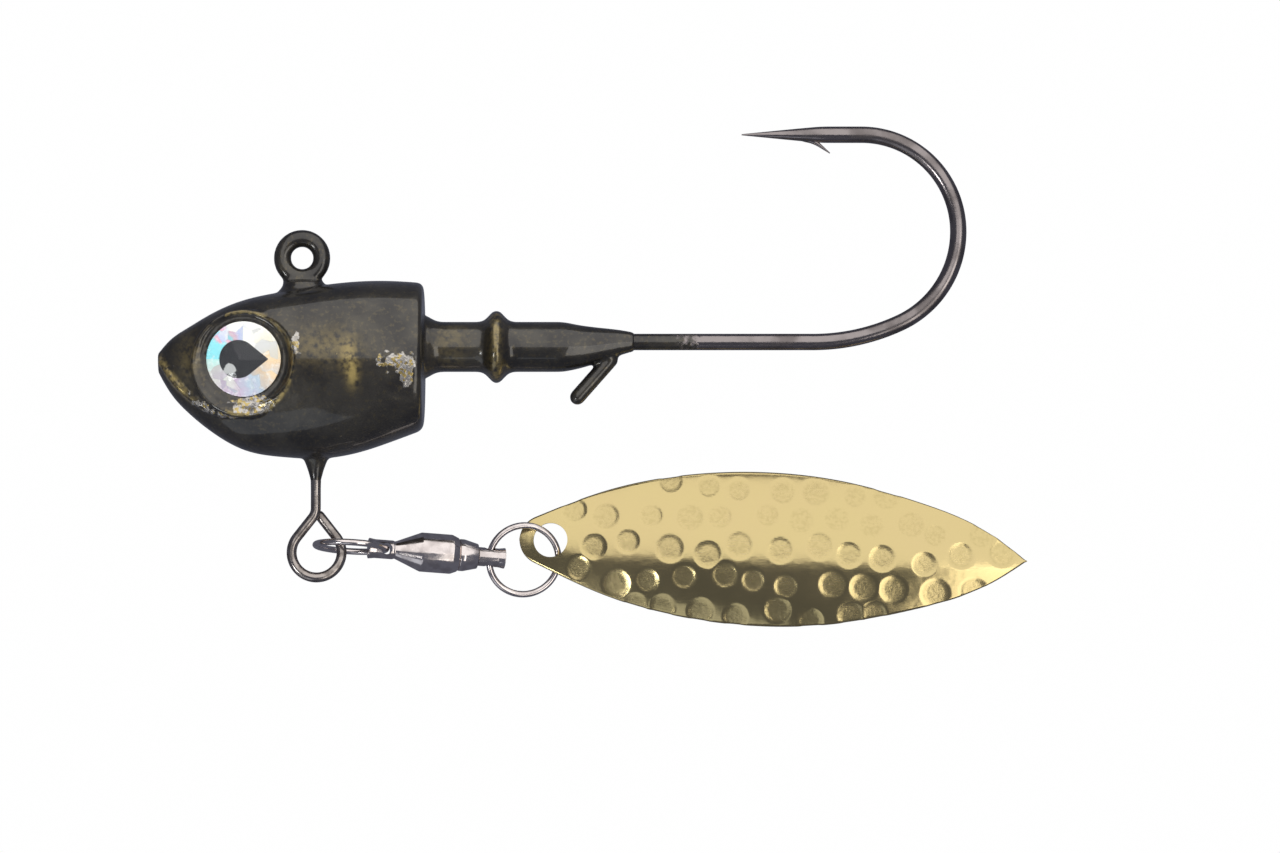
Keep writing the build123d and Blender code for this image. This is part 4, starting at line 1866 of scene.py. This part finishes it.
@dataclass
class Blade:
    """The hammered willow-leaf blade, crowned along and across. Distances run from its nose to its tail.

    Attributes:
        frame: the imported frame.
        thickness: thickness of the sheet.
        yaw: degrees that the blade turns in the plane of the table.
        pitch: degrees that its tail rises above its nose.
        roll: degrees that it turns about its length.
        length_radius: radius of the crown along it.
        width_radius: radius of the crown across it.
        middle: distance of the crown's highest place.
        nose: place of the nose in plan.
        crown_z: height of the crown's highest place.
        outline: distance and half width of points on the edge.
        hole_from_nose: distance of the hole's centre.
        hole_radius: radius of the hole.
        dimple_depth: depth of the hammer marks.
        dimple_radius: mean radius of the marks before they vary.
        rows: places across of the rows of marks.
        pitch_along: distance between marks of a row.
        seed: start of the random draws.
        stations: rings along the blade.
        columns: points across each face.
    """

    frame: Frame
    thickness: float = 0.35
    yaw: float = -2.45
    pitch: float = -1.5
    roll: float = -5.0
    length_radius: float = 90.0
    width_radius: float = 12.0
    middle: float = 19.6
    nose: Point2 = (-6.05, -12.61)
    crown_z: float = 3.13
    outline: Sequence[Point2] = (
        (1.3, 1.9),
        (6.5, 4.1),
        (12.9, 5.7),
        (19.6, 6.22),
        (25.5, 5.77),
        (31.8, 4.31),
        (38.2, 1.66),
        (40.52, 0.0),
    )
    hole_from_nose: float = 2.51
    hole_radius: float = 1.36
    dimple_depth: float = 0.09
    dimple_radius: float = 1.16
    rows: Sequence[float] = (-5.2, -2.75, -0.25, 2.3, 4.8)
    pitch_along: float = 2.9
    seed: int = 11
    stations: int = 400
    columns: int = 88

    def directions(self) -> tuple[np.ndarray, np.ndarray, np.ndarray]:
        """The blade's own axes, from its pitch, yaw and roll.

        Returns:
            The directions along, across and up.
        """
        pitch, yaw, roll = np.radians([self.pitch, self.yaw, self.roll])
        along = np.array([np.cos(pitch) * np.cos(yaw), np.cos(pitch) * np.sin(yaw), -np.sin(pitch)])
        level = unit(np.cross(Z_AXIS, along))
        side = level * np.cos(roll) + np.cross(along, level) * np.sin(roll)
        return along, side, np.cross(along, side)

    def half_width(self, distance: np.ndarray) -> np.ndarray:
        """Half the width of the blade: a spline, and a circle over the first stretch.

        Args:
            distance: distances from the nose.

        Returns:
            Half the width at each.
        """
        table = np.array(self.outline)
        x0, y0 = table[0]
        width = spline_values(table[:, 0], table[:, 1:], np.maximum(distance, x0))[:, 0]
        radius = (x0**2 + y0**2) / (2 * x0)
        nose = np.sqrt(np.maximum(radius**2 - (radius - distance) ** 2, 0.0))
        return np.where(distance < x0, nose, np.maximum(width, 0.0))

    def dimples(self) -> np.ndarray:
        """The hammer marks: staggered rows whose marks each wander a little.

        Returns:
            Distance, place across and radius of each mark.
        """
        random = np.random.default_rng(self.seed)
        count = int(self.outline[-1][0] / self.pitch_along) + 2
        row, step = np.meshgrid(np.arange(len(self.rows)), np.arange(count), indexing="ij")
        x = (step + 0.5 * (row % 2)) * self.pitch_along + 3.2 + random.normal(0.0, 0.42, row.shape)
        y = np.array(self.rows)[row] + random.normal(0.0, 0.30, row.shape)
        size = self.dimple_radius * (1 + random.uniform(-0.13, 0.10, row.shape))
        marks = np.stack([x, y, size], axis=-1).reshape(-1, 3)
        clear = np.hypot(marks[:, 0] - self.hole_from_nose, marks[:, 1]) > self.hole_radius + 1.25
        inside = np.abs(marks[:, 1]) < self.half_width(marks[:, 0]) + 0.2
        return marks[clear & inside & (marks[:, 0] < self.outline[-1][0] - 1.4)]

    def struck(self, x: np.ndarray, y: np.ndarray) -> tuple[np.ndarray, np.ndarray]:
        """How deep and how grainy the sheet is at a place: each mark is a shallow bowl with a crisp rim.

        Args:
            x: distances from the nose.
            y: distances across.

        Returns:
            The depth in millimetres, and the grain from 0 to 1.
        """
        depth = np.zeros_like(x)
        grain = np.zeros_like(x)
        for at_x, at_y, radius in self.dimples():
            share = np.hypot(x - at_x, y - at_y) / radius
            round_floor = 0.72 + 0.28 * (1 - np.minimum(share, 1.0) ** 2)
            bowl = (1 - smooth_step(share, 0.62, 1.0)) * round_floor
            depth = np.maximum(depth, self.dimple_depth * bowl)
            grain = np.maximum(grain, 1 - smooth_step(share, 0.72, 0.92))
        return depth, grain

    def section(self, width: np.ndarray) -> tuple[np.ndarray, np.ndarray]:
        """Rings across the blade: over the top, round one edge, back underneath and round the other edge.

        Args:
            width: half width at each station.

        Returns:
            The places across and the heights under the top face.
        """
        edge = self.thickness / 2
        flat = np.maximum(width - edge, 0.0)[:, None]
        trim = np.minimum(width, edge)[:, None]
        share = np.linspace(-1.0, 1.0, self.columns)
        bend = np.linspace(pi / 2, -pi / 2, 7)[1:-1]
        top = flat * -share
        over = np.zeros_like(top)
        left_edge = -flat - trim * np.cos(bend)
        left_fall = edge * (np.sin(bend) - 1) + np.zeros_like(left_edge)
        across = np.concatenate([top, left_edge, -top, flat + trim * np.cos(bend)], axis=1)
        rise = edge * (-np.sin(bend) - 1) + np.zeros_like(left_edge)
        height = np.concatenate([over, left_fall, over - self.thickness, rise], axis=1)
        return across, height

    def build(self) -> bpy.types.Object:
        """Lays the outline on the crowned sheet, sinks the hammer marks, and cuts the hole.

        The sheet is part of a torus: its height at a place is the large circle's height there, on a radius
        that the small circle gives.

        Returns:
            The blade.
        """
        share = np.linspace(0.0, 1.0, self.stations) ** 1.35
        tail = self.outline[-1][0]
        distance = np.clip(share * tail, 0.004, tail - 0.01)
        width = np.maximum(self.half_width(distance), 0.05)
        across, height = self.section(width)
        x = np.broadcast_to(distance[:, None], across.shape)
        reach = self.length_radius - self.width_radius
        round_part = np.sqrt(self.width_radius**2 - across**2)
        ring = reach + round_part
        offset = x - self.middle
        over = np.sqrt(ring**2 - offset**2)
        lift = over - self.length_radius
        slope_x = -offset / over
        slope_y = -ring * across / (round_part * over)
        normal = unit(np.stack([-slope_x, -slope_y, np.ones_like(x)], axis=-1))
        depth, grain = self.struck(x, across)
        sheet = np.stack([offset, across, lift], axis=-1) + normal * (height - depth)[..., None]
        along, side, up = self.directions()
        flat_crown = np.array([*self.nose, 0.0]) + along * self.middle
        crown = np.array([flat_crown[0], flat_crown[1], self.crown_z])
        grid = crown + sheet[..., :1] * along + sheet[..., 1:2] * side + sheet[..., 2:] * up
        made = make_object("hammered_blade", [Surface(grid)], 45.0)
        set_mark(made.data, "struck", np.concatenate([grain.reshape(-1), [0.0, 0.0]]))
        hole_at = crown + along * (self.hole_from_nose - self.middle)
        cutter = np.array([(-6.0, self.hole_radius), (6.0, self.hole_radius)])
        drill(made, Turning(hole_at, up, along).lathe(cutter, 96))
        return place_piece(made, "blade", PolishedGold().material(), ["blade"])


# --- studio --------------------------------------------------------------------------------------------


@dataclass(frozen=True)
class Softbox:
    """A rectangular lamp that faces the object.

    Attributes:
        name: name of the lamp.
        place: place of its middle in metres.
        size: width and height in metres.
        radiance: brightness of its face.
        colour: colour of its light.
    """

    name: str
    place: Point3
    size: Point2
    radiance: float
    colour: Colour = (1.0, 1.0, 1.0)

    def build(self) -> None:
        """Adds the lamp. Its power is its brightness times pi times its area."""
        lamp = bpy.data.lights.new(self.name, "AREA")
        lamp.shape = "RECTANGLE"
        lamp.size, lamp.size_y = self.size
        lamp.energy = self.radiance * pi * self.size[0] * self.size[1]
        lamp.color = self.colour
        made = bpy.data.objects.new(self.name, lamp)
        made.location = self.place
        aim = -unit(self.place)
        side = unit(np.cross(aim, (0.0, 1.0, 0.001)))
        up = np.cross(side, aim)
        made.rotation_euler = matrix_euler(side, up, -aim)
        made.visible_camera = False
        bpy.context.scene.collection.objects.link(made)


def matrix_euler(x_axis: np.ndarray, y_axis: np.ndarray, z_axis: np.ndarray) -> Any:
    """The turn that takes the world's axes to three given ones."""
    return Matrix([list(row) for row in np.stack([x_axis, y_axis, z_axis], axis=1)]).to_euler()


@dataclass
class Studio:
    """A white table under soft light, seen from straight above through a long lens.

    Attributes:
        look_at: place that the camera looks down on, in millimetres.
        frame_width: width that the picture takes in at the subject's height.
        subject_height: height of that plane over the table.
        lens: focal length.
        sensor: width of the sensor.
        floor_half: half the table's width in metres.
        dome_radius: radius of the backdrop in metres.
        room: colour of the room's light.
        boxes: the lamps.
    """

    look_at: Point2 = (3.63, -3.83)
    frame_width: float = 101.1
    subject_height: float = 5.0
    lens: float = 160.0
    sensor: float = 36.0
    floor_half: float = 1.6
    dome_radius: float = 2.0
    room: Colour = (0.105, 0.112, 0.145)
    boxes: Sequence[Softbox] = (
        Softbox("key_softbox", (0.125, 0.518, 0.537), (1.5, 1.5), 0.97, (1.0, 0.985, 0.965)),
        Softbox("window_card", (-0.39, -0.30, 0.50), (0.15, 0.11), 10.0, (0.95, 0.98, 1.0)),
        Softbox("nose_fill", (-0.22, -0.42, 0.22), (0.50, 0.20), 0.5, (0.86, 0.92, 1.0)),
        Softbox("tail_softbox", (0.34, -0.24, 0.56), (0.28, 0.52), 1.7, (1.0, 0.97, 0.92)),
    )

    def plain(self, name: str, colour: Colour, strength: float) -> bpy.types.Material:
        """A glow with a little cloud in it, for the table and the backdrop.

        Args:
            name: name of the material.
            colour: colour of the glow.
            strength: strength of the glow.

        Returns:
            The material.
        """
        board = Board(name)
        duller = tuple(0.995 * part for part in colour)
        tone = board.blend(board.noise(board.place(), 300.0, 1.0), colour, duller)
        return board.finish(board.node("Emission", {}, {"Color": tone, "Strength": strength}), "Emission")

    def build(self) -> None:
        """Adds the table, the backdrop, the lamps, the world and the camera."""
        half = self.floor_half / MM
        corner = np.array([(-half, -half), (half, -half), (half, half), (-half, half)])
        slab = Surface(np.stack([at_height(corner, -2.0), at_height(corner, 0.0)]))
        table = make_object("table", [slab])
        table.data.materials.append(self.plain("white_table", (1.0, 1.0, 1.0), 1.0))
        angle = np.linspace(0.02, pi - 0.02, 24)
        radius = self.dome_radius / MM
        profile = np.stack([-radius * np.cos(angle), radius * np.sin(angle)], axis=1)
        shell = Turning(np.zeros(3), Z_AXIS, X_AXIS).lathe(profile, 48)
        backdrop = make_object("backdrop", [shell])
        backdrop.data.materials.append(self.plain("white_backdrop", (0.98, 0.98, 0.98), 0.96))
        for made in (table, backdrop):
            made.visible_glossy = False
            made.visible_shadow = False
        for box in self.boxes:
            box.build()
        scene = bpy.context.scene
        world = bpy.data.worlds.new("dim_room")
        world.use_nodes = True
        world.node_tree.nodes["Background"].inputs["Color"].default_value = (*self.room, 1.0)
        scene.world = world
        scene.view_settings.view_transform = "Standard"
        lens = bpy.data.cameras.new("camera")
        lens.lens = self.lens
        lens.sensor_width = self.sensor
        lens.clip_start = 0.01
        lens.clip_end = 10.0
        camera = bpy.data.objects.new("camera", lens)
        distance = self.frame_width * self.lens / self.sensor
        camera.location = np.array([*self.look_at, self.subject_height + distance]) * MM
        scene.collection.objects.link(camera)
        scene.camera = camera


def main() -> None:
    """Builds the object round its frame, then the studio."""
    logging.basicConfig(level=logging.INFO, format="%(name)s %(message)s")
    frame = Frame(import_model())
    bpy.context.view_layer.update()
    casting = Casting(frame)
    casting.build()
    for side in Side:
        Eye(casting.seat, side, casting.mid_z).build()
    Hook(casting.mid_z).build()
    HangerWire(casting.mid_z).build()
    Swivel(frame).build()
    Blade(frame).build()
    Studio().build()


if __name__ == "__main__":
    main()
